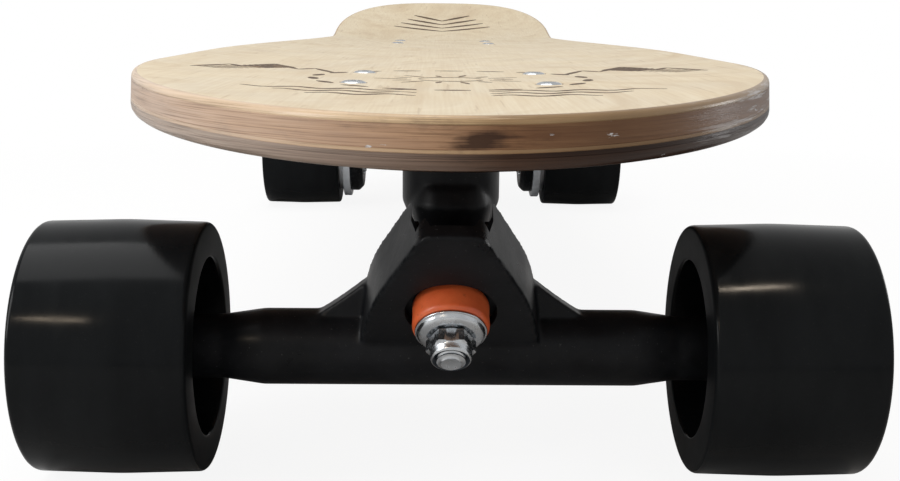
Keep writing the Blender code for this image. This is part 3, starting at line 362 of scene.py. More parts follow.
def moulded(name, dark, pale, low, high, grain_scale, grain_depth):
    """Moulded plastic, rubber or wrap with a fine grain and rubbed, paler patches."""
    p = Paint(name)
    grain = p.noise(grain_scale, 2)
    rub = p.noise(36, 5, 0.65)
    base = p.ramp(rub, (0.3, dark), (0.75, pale))
    rough = p.span(rub, low, high)
    base = p.mix(p.ramp(grain, (0.64, 0), (0.8, 0.4)), base, shade(pale, 2.2))
    return p.done(base, rough, grain, grain_depth, 0.5)


def copper_winding():
    p = Paint("copper_winding", Metallic=0.85)
    turn = p.streaks((900, 60, 60), 2)
    base = p.span(turn, (0.3, 0.115, 0.04), (0.62, 0.29, 0.13))
    return p.done(base, p.span(turn, 0.25, 0.5), turn, 0.0002, 0.6)


TOP = top_veneer()
UNDER = underside_veneer()
EDGE_LIP = ply("edge_lip", (0.62, 0.45, 0.25), (0.42, 0.26, 0.125), 0.02, 0.35)
EDGE_MAIN = ply("edge_main", (0.44, 0.245, 0.12), (0.215, 0.1, 0.046), 0.045, knot=0.9)
EDGE_PALE = ply("edge_pale", (0.5, 0.33, 0.18), (0.31, 0.18, 0.085), 0.0)
EDGE_DARK = ply("edge_dark", (0.08, 0.036, 0.019), (0.03, 0.013, 0.007), 0.0, 0.05)
EDGE_LOW = ply("edge_low", (0.115, 0.058, 0.032), (0.045, 0.02, 0.011), 0.0, 0.05)
LINE = burnt_line()
URETHANE = urethane("black_urethane", 0.1, 0.1, 0.22)
URETHANE_SIDE = urethane("black_urethane_side", 0.04, 0.3, 0.45)
CASTING = black_paint("cast_black", 0.26, 0.44, 0.00006)
MACHINED_BLACK = black_paint("machined_black", 0.2, 0.34, 0.00002)
BLACK_OXIDE = black_paint("black_oxide", 0.24, 0.42, 0.00001)
ZINC = bright_metal("bright_zinc", (0.68, 0.71, 0.74), 0.14, 0.32, (500, 500, 60))
STEEL = bright_metal("ground_steel", (0.6, 0.61, 0.63), 0.18, 0.34, (60, 900, 900))
# Aluminium of the motor flanges: its half-diffuse, bluish-white base is a painted sheen that stands in
# for a bright reflection
POLISHED_PAINTED_SHEEN = bright_metal(
    "polished_aluminium_painted_sheen", (0.86, 0.9, 0.95), 0.12, 0.26, (40, 900, 900), stains=0.3, metal=0.5
)
ALUMINIUM = bright_metal(
    "turned_aluminium", (0.62, 0.63, 0.65), 0.28, 0.38, (2200, 40, 40), stains=0.1, spots=40
)
ORANGE = bushing_urethane()
RUBBER = moulded("black_rubber", (0.012,) * 3, (0.026,) * 3, 0.6, 0.8, 900, 0.00005)
PLASTIC = moulded("black_plastic", (0.01, 0.01, 0.011), (0.022, 0.022, 0.024), 0.38, 0.55, 1300, 0.00006)
# Nylon rings of the lock nuts: a real part, its near-black colour is painted shade in the nut's mouth
NYLON_PAINTED_SHADE = moulded("nylon_ring_painted_shade", (0.02, 0.026, 0.034), (0.04, 0.05, 0.062), 0.35, 0.5, 900, 0.00003)
WRAP = moulded("blue_wrap", (0.012, 0.045, 0.2), (0.022, 0.075, 0.28), 0.25, 0.4, 500, 0.00004)
COPPER = copper_winding()


# Shapes

SHARP = radians(38)
ROUND = 2 * pi
TINY = 1e-6
LONGEST_EASE = 0.49


def add(name, data):
    obj = bpy.data.objects.new(name, data)
    bpy.context.scene.collection.objects.link(obj)
    return obj


def link(name, mesh, *materials):
    for material in materials:
        mesh.materials.append(material)
    mesh.shade_smooth()
    mesh.set_sharp_from_angle(angle=SHARP)
    return add(name, mesh)


def piece(name, form, *materials):
    bmesh.ops.recalc_face_normals(form, faces=form.faces)
    mesh = bpy.data.meshes.new(name)
    form.to_mesh(mesh)
    form.free()
    return link(name, mesh, *materials)


def attach(obj, body, slot, *nodes):
    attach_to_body(obj, body)
    if nodes:
        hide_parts(*nodes)


def rounded(corners, ring=True, steps=4):
    """Points of a profile of (radius, height, fillet) corners, each eased by its fillet."""
    points = []
    count = len(corners)
    for i, (radius, height, fillet) in enumerate(corners):
        here = Vector((radius, height))
        if not fillet or (not ring and i in (0, count - 1)):
            points.append((radius, height))
            continue
        before = Vector(corners[i - 1][:2]) - here
        after = Vector(corners[(i + 1) % count][:2]) - here
        start = here + before.normalized() * min(fillet, before.length * LONGEST_EASE)
        end = here + after.normalized() * min(fillet, after.length * LONGEST_EASE)
        for k in range(steps + 1):
            t = k / steps
            point = start * (1 - t) ** 2 + here * 2 * t * (1 - t) + end * t * t
            points.append((point.x, point.y))
    return points


def raised(corners, datum):
    """A profile's corners with their heights counted from a datum."""
    return [(radius, datum + height, *ease) for radius, height, *ease in corners]


def mirrored(half):
    """A profile that is the same above and below height 0, from its upper half."""
    return half + [(radius, -height) for radius, height in reversed(half)]


def polar(turn):
    return Vector((cos(turn), sin(turn)))


def hexagon(radius, height):
    """A row of a turned form that is six-sided, by its radius to a corner."""
    side = pi / 3
    return lambda angle: (radius * cos(side / 2) / cos(angle % side - side / 2), height)


def even(steps):
    return [ROUND * i / steps for i in range(steps)]


def bridge(form, a, b, closed=True, material=0):
    """Faces between two rows of points. A row may be a single point."""
    count = max(len(a), len(b))
    for i in range(count if closed else count - 1):
        j = (i + 1) % count
        around = [a[i % len(a)], a[j % len(a)], b[j % len(b)], b[i % len(b)]]
        form.faces.new(list(dict.fromkeys(around))).material_index = material


def spin(form, rows, angles, matrix, ring=True):
    """Turns rows about local Z into form. A row is (radius, height), or gives them for an angle."""
    loops = []
    for row in rows:
        loop = []
        for angle in angles:
            radius, height = row(angle) if callable(row) else row
            spot = Vector((radius * cos(angle), radius * sin(angle), height))
            loop.append(form.verts.new(matrix @ spot))
            if not callable(row) and radius < TINY:
                break
        loops.append(loop)
    for a, b in zip(loops, loops[1:]):
        bridge(form, a, b)
    if ring:
        bridge(form, loops[-1], loops[0])
    return form


def turned(name, rows, steps, matrix, *materials, ring=True):
    angles = even(steps) if isinstance(steps, int) else steps
    return piece(name, spin(bmesh.new(), rows, angles, matrix, ring), *materials)


def placed(location, rotation=(0, 0, 0)):
    return Matrix.Translation(location) @ Euler(rotation).to_matrix().to_4x4()


def truck_frame(end):
    """A truck's own frame: its origin on the axle, +Y towards the nearer end of the board."""
    return placed((0, AXLES[end], AXLE_UP), (0, 0, pi if end == "front" else 0))


def kingpin_frame(end):
    return truck_frame(end) @ placed(SEAT, ALONG_KINGPIN)


def pivot_frame(end):
    return truck_frame(end) @ placed(SEAT, ALONG_PIVOT)


def wheel_frame(end, sign):
    return placed((0, AXLES[end], AXLE_UP), (0, sign * pi / 2, 0))


def baked(obj):
    """The object's mesh with its modifiers applied. The object itself is removed."""
    bpy.context.view_layer.update()
    graph = bpy.context.evaluated_depsgraph_get()
    mesh = bpy.data.meshes.new_from_object(obj.evaluated_get(graph))
    mesh.transform(obj.matrix_world)
    bpy.data.objects.remove(obj, do_unlink=True)
    return mesh


def combined(base, joined, removed):
    """One mesh from base, with others joined to it and then others taken away."""
    for others, operation in ((joined, "UNION"), (removed, "DIFFERENCE")):
        for other in others:
            boolean = base.modifiers.new(other.name, "BOOLEAN")
            boolean.operation = operation
            boolean.solver = "EXACT"
            boolean.object = other
    mesh = baked(base)
    for other in (*joined, *removed):
        bpy.data.objects.remove(other, do_unlink=True)
    return mesh


# Deck

DECK_ROWS = 150
DECK_STRIPS = 22
TOP_ROUND = 0.0019
LOW_ROUND = 0.003
ROUND_STEPS = 4
GROOVE = 0.00009
PLY_BREAKS = (0.0022, 0.0086, 0.0096, 0.011)
FIRST_PLY = 2
SLOPE_STEP = 0.0005
BOLT_HOLE = 0.0028
HEAD_HOLE = 0.0051
HEAD_DEPTH = 0.0029
OVERCUT = 0.004


def half_width(y):
    wide = NOSE_END + DECK_NOSE_LENGTH
    share = (y - NOSE_END - DECK_WAIST_START) / DECK_WAIST_LENGTH
    share = min(max(share, 0), 1)
    half = DECK_WIDE_HALF + (DECK_WAIST_HALF - DECK_WIDE_HALF) * share**2 * (3 - 2 * share)
    if y < wide:
        half *= sqrt(max(0, 1 - ((wide - y) / DECK_NOSE_LENGTH) ** 2))
    tail = (y - TOP_END + DECK_TAIL_LENGTH) / DECK_TAIL_LENGTH
    if tail > 0:
        half *= max(0, 1 - tail**DECK_TAIL_SQUARENESS) ** (1 / DECK_TAIL_SQUARENESS)
    return half


def deck_height(x, y):
    kick = max(0, y - TOP_END + KICK_LENGTH) / KICK_LENGTH
    return DECK_TOP + DECK_CONCAVE * (x / DECK_WIDE_HALF) ** 2 + KICK_RISE * kick**KICK_CURVE


def deck_normal(x, y):
    step = SLOPE_STEP
    slope_x = (deck_height(x + step, y) - deck_height(x - step, y)) / (2 * step)
    slope_y = (deck_height(x, y + step) - deck_height(x, y - step)) / (2 * step)
    return Vector((-slope_x, -slope_y, 1)).normalized()


def deck_point(x, y, depth, outward=None, offset=0):
    normal = deck_normal(x, y)
    spot = Vector((x, y, deck_height(x, y))) - normal * depth
    if outward:
        flat = outward - normal * outward.dot(normal)
        spot += flat.normalized() * offset
    return spot


def rim(inset):
    """The right half of the deck's outline, nose to tail, as points and outward directions."""
    line = []
    for j in range(DECK_ROWS + 1):
        share = (1 - cos(pi * j / DECK_ROWS)) / 2
        y = NOSE_END + (TOP_END - NOSE_END) * share
        line.append(Vector((half_width(y), y, 0)))
    outline = []
    for j, spot in enumerate(line):
        before = line[j - 1] if j else Vector((-line[1].x, line[1].y, 0))
        after = line[j + 1] if j < DECK_ROWS else Vector((-line[-2].x, line[-2].y, 0))
        along = (after - before).normalized()
        outward = Vector((along.y, -along.x, 0))
        outline.append((spot - outward * inset, outward))
    return outline


def edge_rows():
    """The deck edge's section from top to bottom: (offset, depth, ply number)."""
    turns = [pi / 2 * k / ROUND_STEPS for k in range(ROUND_STEPS + 1)]
    rows = [(TOP_ROUND * sin(turn), TOP_ROUND * (1 - cos(turn)), 0) for turn in turns]
    for number, depth in enumerate(PLY_BREAKS):
        rows.append((TOP_ROUND, depth - GROOVE, number))
        rows.append((TOP_ROUND - GROOVE, depth, number))
        rows.append((TOP_ROUND, depth + GROOVE, number + 1))
    for turn in turns:
        low = DECK_THICKNESS - LOW_ROUND * (1 - sin(turn))
        rows.append((TOP_ROUND - LOW_ROUND * (1 - cos(turn)), low, len(PLY_BREAKS)))
    return rows


def deck_face(form, outline, right, left, depth, material):
    """Fills the deck's top or bottom between its two rims."""
    rows = []
    for j, (spot, _) in enumerate(outline):
        if j in (0, DECK_ROWS):
            rows.append([right[j]])
            continue
        row = [left[j]]
        for i in range(1, DECK_STRIPS):
            x = spot.x * (2 * i / DECK_STRIPS - 1)
            row.append(form.verts.new(deck_point(x, spot.y, depth)))
        rows.append(row + [right[j]])
    for a, b in zip(rows, rows[1:]):
        bridge(form, a, b, False, material)


def bolt_spots(end):
    """Where a truck's four bolts go through the deck: (x, y)."""
    return [(truck_frame(end) @ Vector(corner)).xy for corner in BOLT_CORNERS]


def bolt_holes():
    holes = []
    for end in ENDS:
        for x, y in bolt_spots(end):
            top = deck_height(x, y) - CLEAR
            high, low = top + OVERCUT, DECK_BOTTOM - OVERCUT
            rows = [(0, high), (HEAD_HOLE, high), (HEAD_HOLE, top - CLEAR)]
            rows += [(BOLT_HOLE, top - HEAD_DEPTH), (BOLT_HOLE, low), (0, low)]
            holes.append(turned("bolt_hole", rows, 32, placed((x, y, 0)), EDGE_MAIN, ring=False))
    return holes


def build_deck():
    form = bmesh.new()
    outline = rim(TOP_ROUND)
    rings = []
    rows = edge_rows()
    for offset, depth, _ in rows:
        right, left = [], []
        for j, (spot, outward) in enumerate(outline):
            right.append(form.verts.new(deck_point(spot.x, spot.y, depth, outward, offset)))
            if j in (0, DECK_ROWS):
                left.append(right[-1])
            else:
                mirror = Vector((-outward.x, outward.y, 0))
                left.append(form.verts.new(deck_point(-spot.x, spot.y, depth, mirror, offset)))
        rings.append((right, left))
    for k in range(len(rows) - 1):
        material = FIRST_PLY + min(rows[k][2], rows[k + 1][2])
        for side_a, side_b in zip(rings[k], rings[k + 1]):
            bridge(form, side_a, side_b, False, material)
    deck_face(form, outline, *rings[0], 0, 0)
    deck_face(form, outline, *rings[-1], DECK_THICKNESS, 1)
    deck = piece("deck_board", form, TOP, UNDER, EDGE_LIP, EDGE_MAIN, EDGE_PALE, EDGE_DARK, EDGE_LOW)
    attach(link("deck_board", combined(deck, [], bolt_holes())), "board", "maple", "deck")


build_deck()


# Burnt lines on the deck: a sun, ridges with hatching, waves, a ring of dashes and tail chevrons

LINE_PROUD = 0.00005
LINE_SUNK = 0.00025
LINE_WIDTH = 0.0016
LINE_TIP = 0.35
SUN = Vector((0, -0.288))
SUN_RADIUS = 0.0125
SUN_ARCS = (0.06, 0.56)
SUN_ARC_SHARE = 0.4
SUN_RAYS = 14
RAY_START = 0.0165
RAY_ENDS = (0.024, 0.029)
RIDGE_FOOT = -0.262
RIDGE_HATCHES = 26
RIDGE_PEAKS = (
    (0.046, 0), (0.057, 0.03), (0.063, 0.018), (0.077, 0.052),
    (0.088, 0.021), (0.093, 0.031), (0.104, 0),
)
WAVE_ROWS = 3
WAVE_STEPS = 24
DASHES = 18
DASH_RING = (0.052, 0.062)
DASH_HALF = 0.006
CHEVRON_ROWS = 4
CHEVRON_START = 0.352


def stroke(form, points, width):
    """A line laid along points of the deck's top, thinner towards both ends. Width in line widths."""
    rows = []
    last = len(points) - 1
    for i, (x, y) in enumerate(points):
        ahead = Vector(points[min(i + 1, last)]) - Vector(points[max(i - 1, 0)])
        swell = LINE_TIP + (1 - LINE_TIP) * sin(pi * i / last)
        side = Vector((-ahead.y, ahead.x)).normalized() * (LINE_WIDTH * width / 2 * swell)
        row = []
        for sign, lift in ((-1, LINE_PROUD), (1, LINE_PROUD), (1, -LINE_SUNK), (-1, -LINE_SUNK)):
            px, py = x + sign * side.x, y + sign * side.y
            row.append(form.verts.new((px, py, deck_height(px, py) + lift)))
        rows.append(row)
    for a, b in zip(rows, rows[1:]):
        bridge(form, a, b)
    form.faces.new(rows[0])
    form.faces.new(rows[-1])


def straight(a, b, steps=4):
    return [Vector(a).lerp(Vector(b), i / steps) for i in range(steps + 1)]


def draw_sun(form):
    for start in SUN_ARCS:
        turns = [ROUND * (start + SUN_ARC_SHARE * i / 16) for i in range(17)]
        stroke(form, [SUN + polar(turn) * SUN_RADIUS for turn in turns], 1.6)
    for number in range(SUN_RAYS):
        ray = polar(ROUND * number / SUN_RAYS)
        stroke(form, straight(SUN + ray * RAY_START, SUN + ray * RAY_ENDS[number % 2]), 1.3)


def draw_ridges(form):
    """A jagged skyline on each side, its near slopes hatched."""
    for sign in (-1, 1):
        skyline = [Vector((sign * x, RIDGE_FOOT + rise)) for x, rise in RIDGE_PEAKS]
        for a, b in zip(skyline, skyline[1:]):
            stroke(form, straight(a, b), 2)
        for number in range(RIDGE_HATCHES):
            share = (number + 0.5) / RIDGE_HATCHES
            top = skyline[3].lerp(skyline[4] if number % 2 else skyline[6], share)
            foot = top + Vector((-sign * 0.012, -0.016 * (1 - share) - 0.005))
            stroke(form, straight(top, foot), 1.2)


def draw_waves(form):
    for row in range(WAVE_ROWS):
        for half in (-1, 1):
            line = []
            for i in range(WAVE_STEPS + 1):
                x = half * (0.012 + (0.058 - 0.012 * row) * i / WAVE_STEPS)
                line.append((x, -0.352 - 0.011 * row + 0.0028 * sin(x * 330 + row)))
            stroke(form, line, 2)


def draw_dashes(form):
    for number in range(DASHES):
        way = polar(ROUND * (number + 0.5) / DASHES)
        spot = SUN + Vector((DASH_RING[0] * way.x, DASH_RING[1] * way.y))
        along = Vector((-way.y, way.x)) * DASH_HALF
        stroke(form, straight(spot - along, spot + along), 2.6)


def draw_chevrons(form):
    for row in range(CHEVRON_ROWS):
        y = CHEVRON_START + 0.012 * row
        for sign in (-1, 1):
            stroke(form, straight((0, y), (sign * (0.044 - 0.006 * row), y + 0.016), 8), 2.6)


def build_lines():
    form = bmesh.new()
    for draw in (draw_sun, draw_ridges, draw_waves, draw_dashes, draw_chevrons):
        draw(form)
    attach(piece("deck_lines", form, LINE), "board", "maple")


build_lines()


# Wheels

WHEEL_STEPS = 144
SIDE_FACING = 0.8
TREAD_CROWN = 0.0008
TREAD_SLANT = 0.0002
TIRE_LIP = 0.002
SIDE_STEP_RADIUS = 0.0385
RECESS_TAPER = 0.0014
REAR_BORE = 0.0333


def tire_corners(end):
    outer = FRONT_WHEEL_OUTER if end == "front" else REAR_TIRE_OUTER
    shoulder = WHEEL_RADIUS - TREAD_CROWN
    tread = [
        (shoulder, outer - TREAD_SLANT, TIRE_LIP),
        (WHEEL_RADIUS, (outer + WHEEL_INNER) / 2, 0.004),
        (shoulder, WHEEL_INNER + TREAD_SLANT, TIRE_LIP),
    ]
    if end == "rear":
        return [(REAR_BORE, outer, 0.0008), *tread, (REAR_BORE, WHEEL_INNER, 0.0008)]
    mouth, floor, bore = WHEEL_RECESS_RADIUS, WHEEL_RECESS_RADIUS - RECESS_TAPER, CORE_RADIUS + CLEAR
    return [
        (mouth, outer, 0.0012), (SIDE_STEP_RADIUS, outer, 0), *tread,
        (SIDE_STEP_RADIUS, WHEEL_INNER, 0), (mouth, WHEEL_INNER, 0.0012),
        (floor, CORE_INNER, 0.0016), (bore, CORE_INNER, 0),
        (bore, CORE_OUTER, 0), (floor, CORE_OUTER, 0.0016),
    ]


def build_tire(end, side, sign):
    name = f"{end}_{side}_tire"
    profile = rounded(tire_corners(end), steps=6)
    form = spin(bmesh.new(), profile, even(WHEEL_STEPS), wheel_frame(end, sign))
    bmesh.ops.recalc_face_normals(form, faces=form.faces)
    for face in form.faces:
        face.material_index = int(abs(face.normal.x) > SIDE_FACING)
    tire = piece(name + "_cast", form, URETHANE, URETHANE_SIDE)
    attach(tire, f"{end}_{side}_wheel", "black_urethane", name)


SPOKES = 8
SPOKE_SHARES = (0, 0.08, 0.14, 0.17, 0.2, 0.3, 0.4, 0.5, 0.6, 0.7, 0.8, 0.83, 0.86, 0.92)
SPOKE_SETBACK = 0.0012
POCKET_DEPTH = 0.009
POCKET_HALF = 0.34
POCKET_WALL = 0.03
BEARING_SEAT = 0.0073
CORE_EASE = 0.0004


def pocket(radius, face, floor):
    """A row that dips from face to floor between the spokes."""
    def row(angle):
        share = angle * SPOKES / ROUND % 1
        deep = min(max((POCKET_HALF - abs(share - 0.5)) / POCKET_WALL, 0), 1)
        return radius, face + (floor - face) * deep
    return row


def build_core(side, sign):
    """The moulded core of a front wheel: a hub and a rim joined by spokes with pockets between."""
    angles = [ROUND / SPOKES * (number + share) for number in range(SPOKES) for share in SPOKE_SHARES]
    rows = [(CORE_RADIUS, CORE_OUTER), (CORE_RADIUS, CORE_INNER)]
    for face, step in ((CORE_INNER, 1), (CORE_OUTER, -1)):
        spoke, floor = face + step * SPOKE_SETBACK, face + step * POCKET_DEPTH
        ease, seat = face + step * CORE_EASE, face + step * BEARING_SEAT
        band = [
            (0.0243, face), (0.0238, ease), (0.0236, spoke),
            pocket(0.0228, spoke, floor), pocket(0.0156, spoke, floor),
            (0.0148, spoke), (0.0146, ease), (0.0141, face), (0.0117, face),
            (0.0113, ease), (0.0113, seat), (0.0088, seat),
        ]
        rows += band[::step]
    core = turned(f"front_{side}_core_spokes", rows, angles, wheel_frame("front", sign), PLASTIC)
    attach(core, f"front_{side}_wheel", "black_plastic", f"front_{side}_wheel_core")


RACE_SHARE = 0.3
RACE_EASE = 0.0003
SHIELD_DEPTH = 0.0005
# End, place, height of the inner face, width, bore and radius
BEARINGS = (
    ("front", "inner", CORE_INNER, 0.007, 0.0043, 0.011),
    ("front", "outer", CORE_OUTER - 0.007, 0.007, 0.0043, 0.011),
    ("rear", "inner", 0.072, 0.008, 0.0063, 0.014),
    ("rear", "outer", 0.1304, 0.008, 0.0063, 0.014),
)


def build_bearing(side, sign, end, place, low, width, bore, radius):
    """A shielded bearing: two steel races with a set-back shield between them on both faces."""
    race = (radius - bore) * RACE_SHARE
    high = low + width
    shields = (high - SHIELD_DEPTH, low + SHIELD_DEPTH)
    inner, outer = bore + race, radius - race
    corners = [(bore, high, RACE_EASE), (inner, high, RACE_EASE), (inner, shields[0], 0)]
    corners += [(outer, shields[0], 0), (outer, high, RACE_EASE), (radius, high, RACE_EASE)]
    lower = [(r, low + high - h, e) for r, h, e in reversed(corners)]
    form = spin(bmesh.new(), rounded(corners + lower, steps=2), even(48), wheel_frame(end, sign))
    for face in form.faces:
        for level in shields:
            if all(abs(abs(v.co.x) - level) < TINY for v in face.verts):
                face.material_index = 1
    name = f"{end}_{side}_{place}_bearing"
    attach(piece(name + "_races", form, STEEL, RUBBER), f"{end}_{side}_wheel", "steel", name)


def lock_nut(bore, radius, start, length, matrix):
    """A hexagon nut with chamfered corners and a turned collar that holds a nylon ring, coloured
    near-black as painted shade in the nut's mouth.
    """
    flat = radius * cos(pi / 6)
    hex_end = start + length * 0.66
    ease = radius * 0.07
    collar = flat * 0.955
    mouth = collar * 0.9
    end = start + length
    rows = [
        (bore, start), (flat * 0.96, start),
        hexagon(radius, start + ease), hexagon(radius, hex_end - ease),
        (flat * 0.985, hex_end), (collar, hex_end + ease * 0.5), (collar, end - ease * 1.6),
        (collar * 0.965, end - ease * 0.5), (mouth, end), (bore * 1.2, end - ease * 0.3),
        (bore * 1.08, end - ease), (bore * 1.02, end - ease * 2.2), (bore, end - ease * 2.4),
    ]
    form = spin(bmesh.new(), rows, even(72), matrix)
    # The nylon ring's faces take the second material, whose near-black colour is painted shade
    ring = bore + (mouth - bore) * 0.98
    for face in form.faces:
        middle = matrix.inverted() @ face.calc_center_median()
        if middle.xy.length < ring and middle.z > hex_end:
            face.material_index = 1
    return form


AXLE_HALF = 0.1373
AXLE_RADIUS = 0.004
AXLE_PITCH = 0.001
AXLE_NUT_LENGTH = 0.0065
THREAD_DEPTH = 0.0004


def build_axle_nut(side, sign):
    form = lock_nut(0.0043, 0.0073, CORE_OUTER + CLEAR, AXLE_NUT_LENGTH, wheel_frame("front", sign))
    nut = piece(f"front_{side}_axle_lock_nut", form, ZINC, NYLON_PAINTED_SHADE)
    attach(nut, "front_truck", "zinc", f"front_{side}_axle_nut")


def thread(radius, start, end, pitch):
    """Rows of a thread's crests and roots between two heights, running down."""
    rows = []
    for k in range(round((start - end) / pitch)):
        for share, depth in ((0.1, 0), (0.4, 0), (0.75, THREAD_DEPTH)):
            rows.append((radius - depth, start - pitch * (k + share)))
    return rows


def build_front_axle():
    rows = [(0, AXLE_HALF), (0.003, AXLE_HALF), (0.0037, AXLE_HALF - 0.0006)]
    rows += thread(AXLE_RADIUS, AXLE_HALF - 0.0008, CORE_OUTER - 0.002, AXLE_PITCH)
    rows.append((AXLE_RADIUS, CORE_OUTER - 0.0025))
    axle = turned("front_axle_rod", mirrored(rows), 40, wheel_frame("front", 1), STEEL, ring=False)
    attach(axle, "front_truck", "steel", "front_axle")


# Hub motors. Profiles are corners of (radius, height from a datum, ease)

CAN_START = 0.0762
CAN_END = 0.1434
CAN_RADIUS = 0.033
CAN_WALL = 0.0275
FLANGE_RADIUS = 0.0385
FLANGE_END = 0.0822
COVER_START = 0.0659
HUB_BORE = 0.0143
CAN_FACE = [
    (0, 0, 0), (0.0105, 0, 0), (0.0112, -0.0008, 0), (0.0142, -0.0008, 0), (0.015, 0, 0.0003),
    (0.0255, 0, 0.0003), (0.026, -0.0006, 0), (0.027, -0.0006, 0), (CAN_WALL, 0, 0.0003),
    (CAN_RADIUS, 0, 0.002),
]
CAN_FLANGE = [
    (CAN_RADIUS, FLANGE_END, 0), (FLANGE_RADIUS, FLANGE_END, 0.0006),
    (FLANGE_RADIUS, CAN_START, 0.0008), (CAN_WALL, CAN_START, 0.0004),
]
CAN_INSIDE = [(CAN_WALL, -0.013, 0), (HUB_BORE, -0.013, 0), (HUB_BORE, -0.0047, 0), (0, -0.0047, 0)]
COVER = [
    (0.0272, 0.0141, 0.0004), (0.0272, 0.01, 0), (0.034, 0.01, 0.0005), (0.034, 0.004, 0.0012),
    (0.03, 0, 0.0012), (0.015, 0, 0.0004), (0.0146, 0.0007, 0), (0.012, 0.0007, 0),
    (0.0116, 0, 0.0004), (0.0084, 0, 0.0004), (0.0084, 0.0058, 0), (HUB_BORE, 0.0058, 0),
    (HUB_BORE, 0.0141, 0),
]
MOTOR_STEPS = 96
MOTOR_SCREWS = 6
SCREW_SUNK = 0.0004


def screw_heads(form, ring_radius, radius, face, outward, matrix):
    """Button-head screws with hexagon sockets on a circle, on a face at that height."""
    rows = [
        (0, -SCREW_SUNK), (radius * 1.02, -SCREW_SUNK), (radius, 0.0001),
        (radius * 0.93, radius * 0.28), (radius * 0.74, radius * 0.46), (radius * 0.56, radius * 0.52),
        hexagon(radius * 0.5, radius * 0.5), hexagon(radius * 0.48, radius * 0.08), (0, radius * 0.02),
    ]
    tilt = 0 if outward else pi
    for number in range(MOTOR_SCREWS):
        spot = polar(ROUND * (number + 0.5) / MOTOR_SCREWS) * ring_radius
        spin(form, rows, even(24), matrix @ placed((*spot, face), (tilt, 0, 0)), ring=False)


def build_hub_motor(side, sign):
    matrix = wheel_frame("rear", sign)
    body = f"rear_{side}_wheel"
    motor = f"rear_{side}_motor"
    corners = raised(CAN_FACE, CAN_END) + CAN_FLANGE + raised(CAN_INSIDE, CAN_END)
    form = spin(bmesh.new(), rounded(corners, ring=False), even(MOTOR_STEPS), matrix, ring=False)
    # The flange faces get the second material, whose bright, bluish-white base is a painted sheen
    for face in form.faces:
        face.material_index = int(abs(face.calc_center_median().x) < FLANGE_END + CLEAR)
    can = piece(f"{motor}_shell", form, ALUMINIUM, POLISHED_PAINTED_SHEEN)
    attach(can, body, "motor_aluminium", f"{motor}_can")
    profile = rounded(raised(COVER, COVER_START))
    cover = turned(f"{motor}_end", profile, MOTOR_STEPS, matrix, MACHINED_BLACK)
    attach(cover, body, "black_paint", f"{motor}_cover")
    form = bmesh.new()
    screw_heads(form, 0.0205, 0.0021, COVER_START, False, matrix)
    screw_heads(form, 0.0203, 0.0024, CAN_END, True, matrix)
    attach(piece(f"{motor}_screws", form, ZINC), body, "zinc")


for side, sign in SIDES:
    for end in ENDS:
        build_tire(end, side, sign)
    build_core(side, sign)
    build_axle_nut(side, sign)
    for bearing in BEARINGS:
        build_bearing(side, sign, *bearing)
    build_hub_motor(side, sign)
build_front_axle()


# Kingpin stack

BUSHING_BORE = 0.0058
BUSHING_FACE = 0.012
BUSHING_RADIUS = 0.013
BUSHING_WAIST = 0.0128
BUSHING_CHAMFER = 0.001
# Name, then heights of the end that the board holds and of the end that the hanger presses
BUSHINGS = (("roadside", 0.0153, 0.0043), ("boardside", -0.0163, -0.0043))
WASHER_START = 0.0156
WASHER = [
    (0.0051, 0.003, 0.0002), (0.008, 0.003, 0.0004), (0.0084, 0.0031, 0.0004),
    (0.0107, 0.0023, 0.001), (0.0114, 0.0008, 0.0003), (0.012, 0.0007, 0.0003),
    (0.012, 0, 0.0003), (0.0112, 0.0001, 0), (0.0086, 0.0014, 0.0008), (0.0051, 0.0016, 0),
]
NUT_START = 0.0189
NUT_LENGTH = 0.0082
KINGPIN_END = 0.0286
KINGPIN_RADIUS = 0.00475
KINGPIN_PITCH = 0.00125
KINGPIN_TIP = [(0, -0.0003), (0.0018, -0.0003), (0.0024, 0), (0.0034, 0), (0.0038, -0.0006)]
HEAD_FACE = -0.0459
HEAD_END = HEAD_FACE - 0.006
HEAD_RADIUS = 0.008


def build_bushings(end, matrix):
    for name, held, pressed in BUSHINGS:
        low, high = sorted((held, pressed))
        corners = [
            (BUSHING_BORE, high, 0.0004), (BUSHING_FACE, high, 0),
            (BUSHING_RADIUS, high - BUSHING_CHAMFER, 0.0012),
            (BUSHING_WAIST, (low + high) / 2, 0.004),
            (BUSHING_RADIUS, low + BUSHING_CHAMFER, 0.0012),
            (BUSHING_FACE, low, 0), (BUSHING_BORE, low, 0.0004),
        ]
        bushing = turned(f"{end}_{name}_rubber", rounded(corners), 64, matrix, ORANGE)
        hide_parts(f"{end}_{name}_bushing")
        fixed, moved = (matrix @ Vector((0, 0, height)) for height in (held, pressed))
        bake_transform(bushing)
        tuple(fixed)
        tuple(moved)


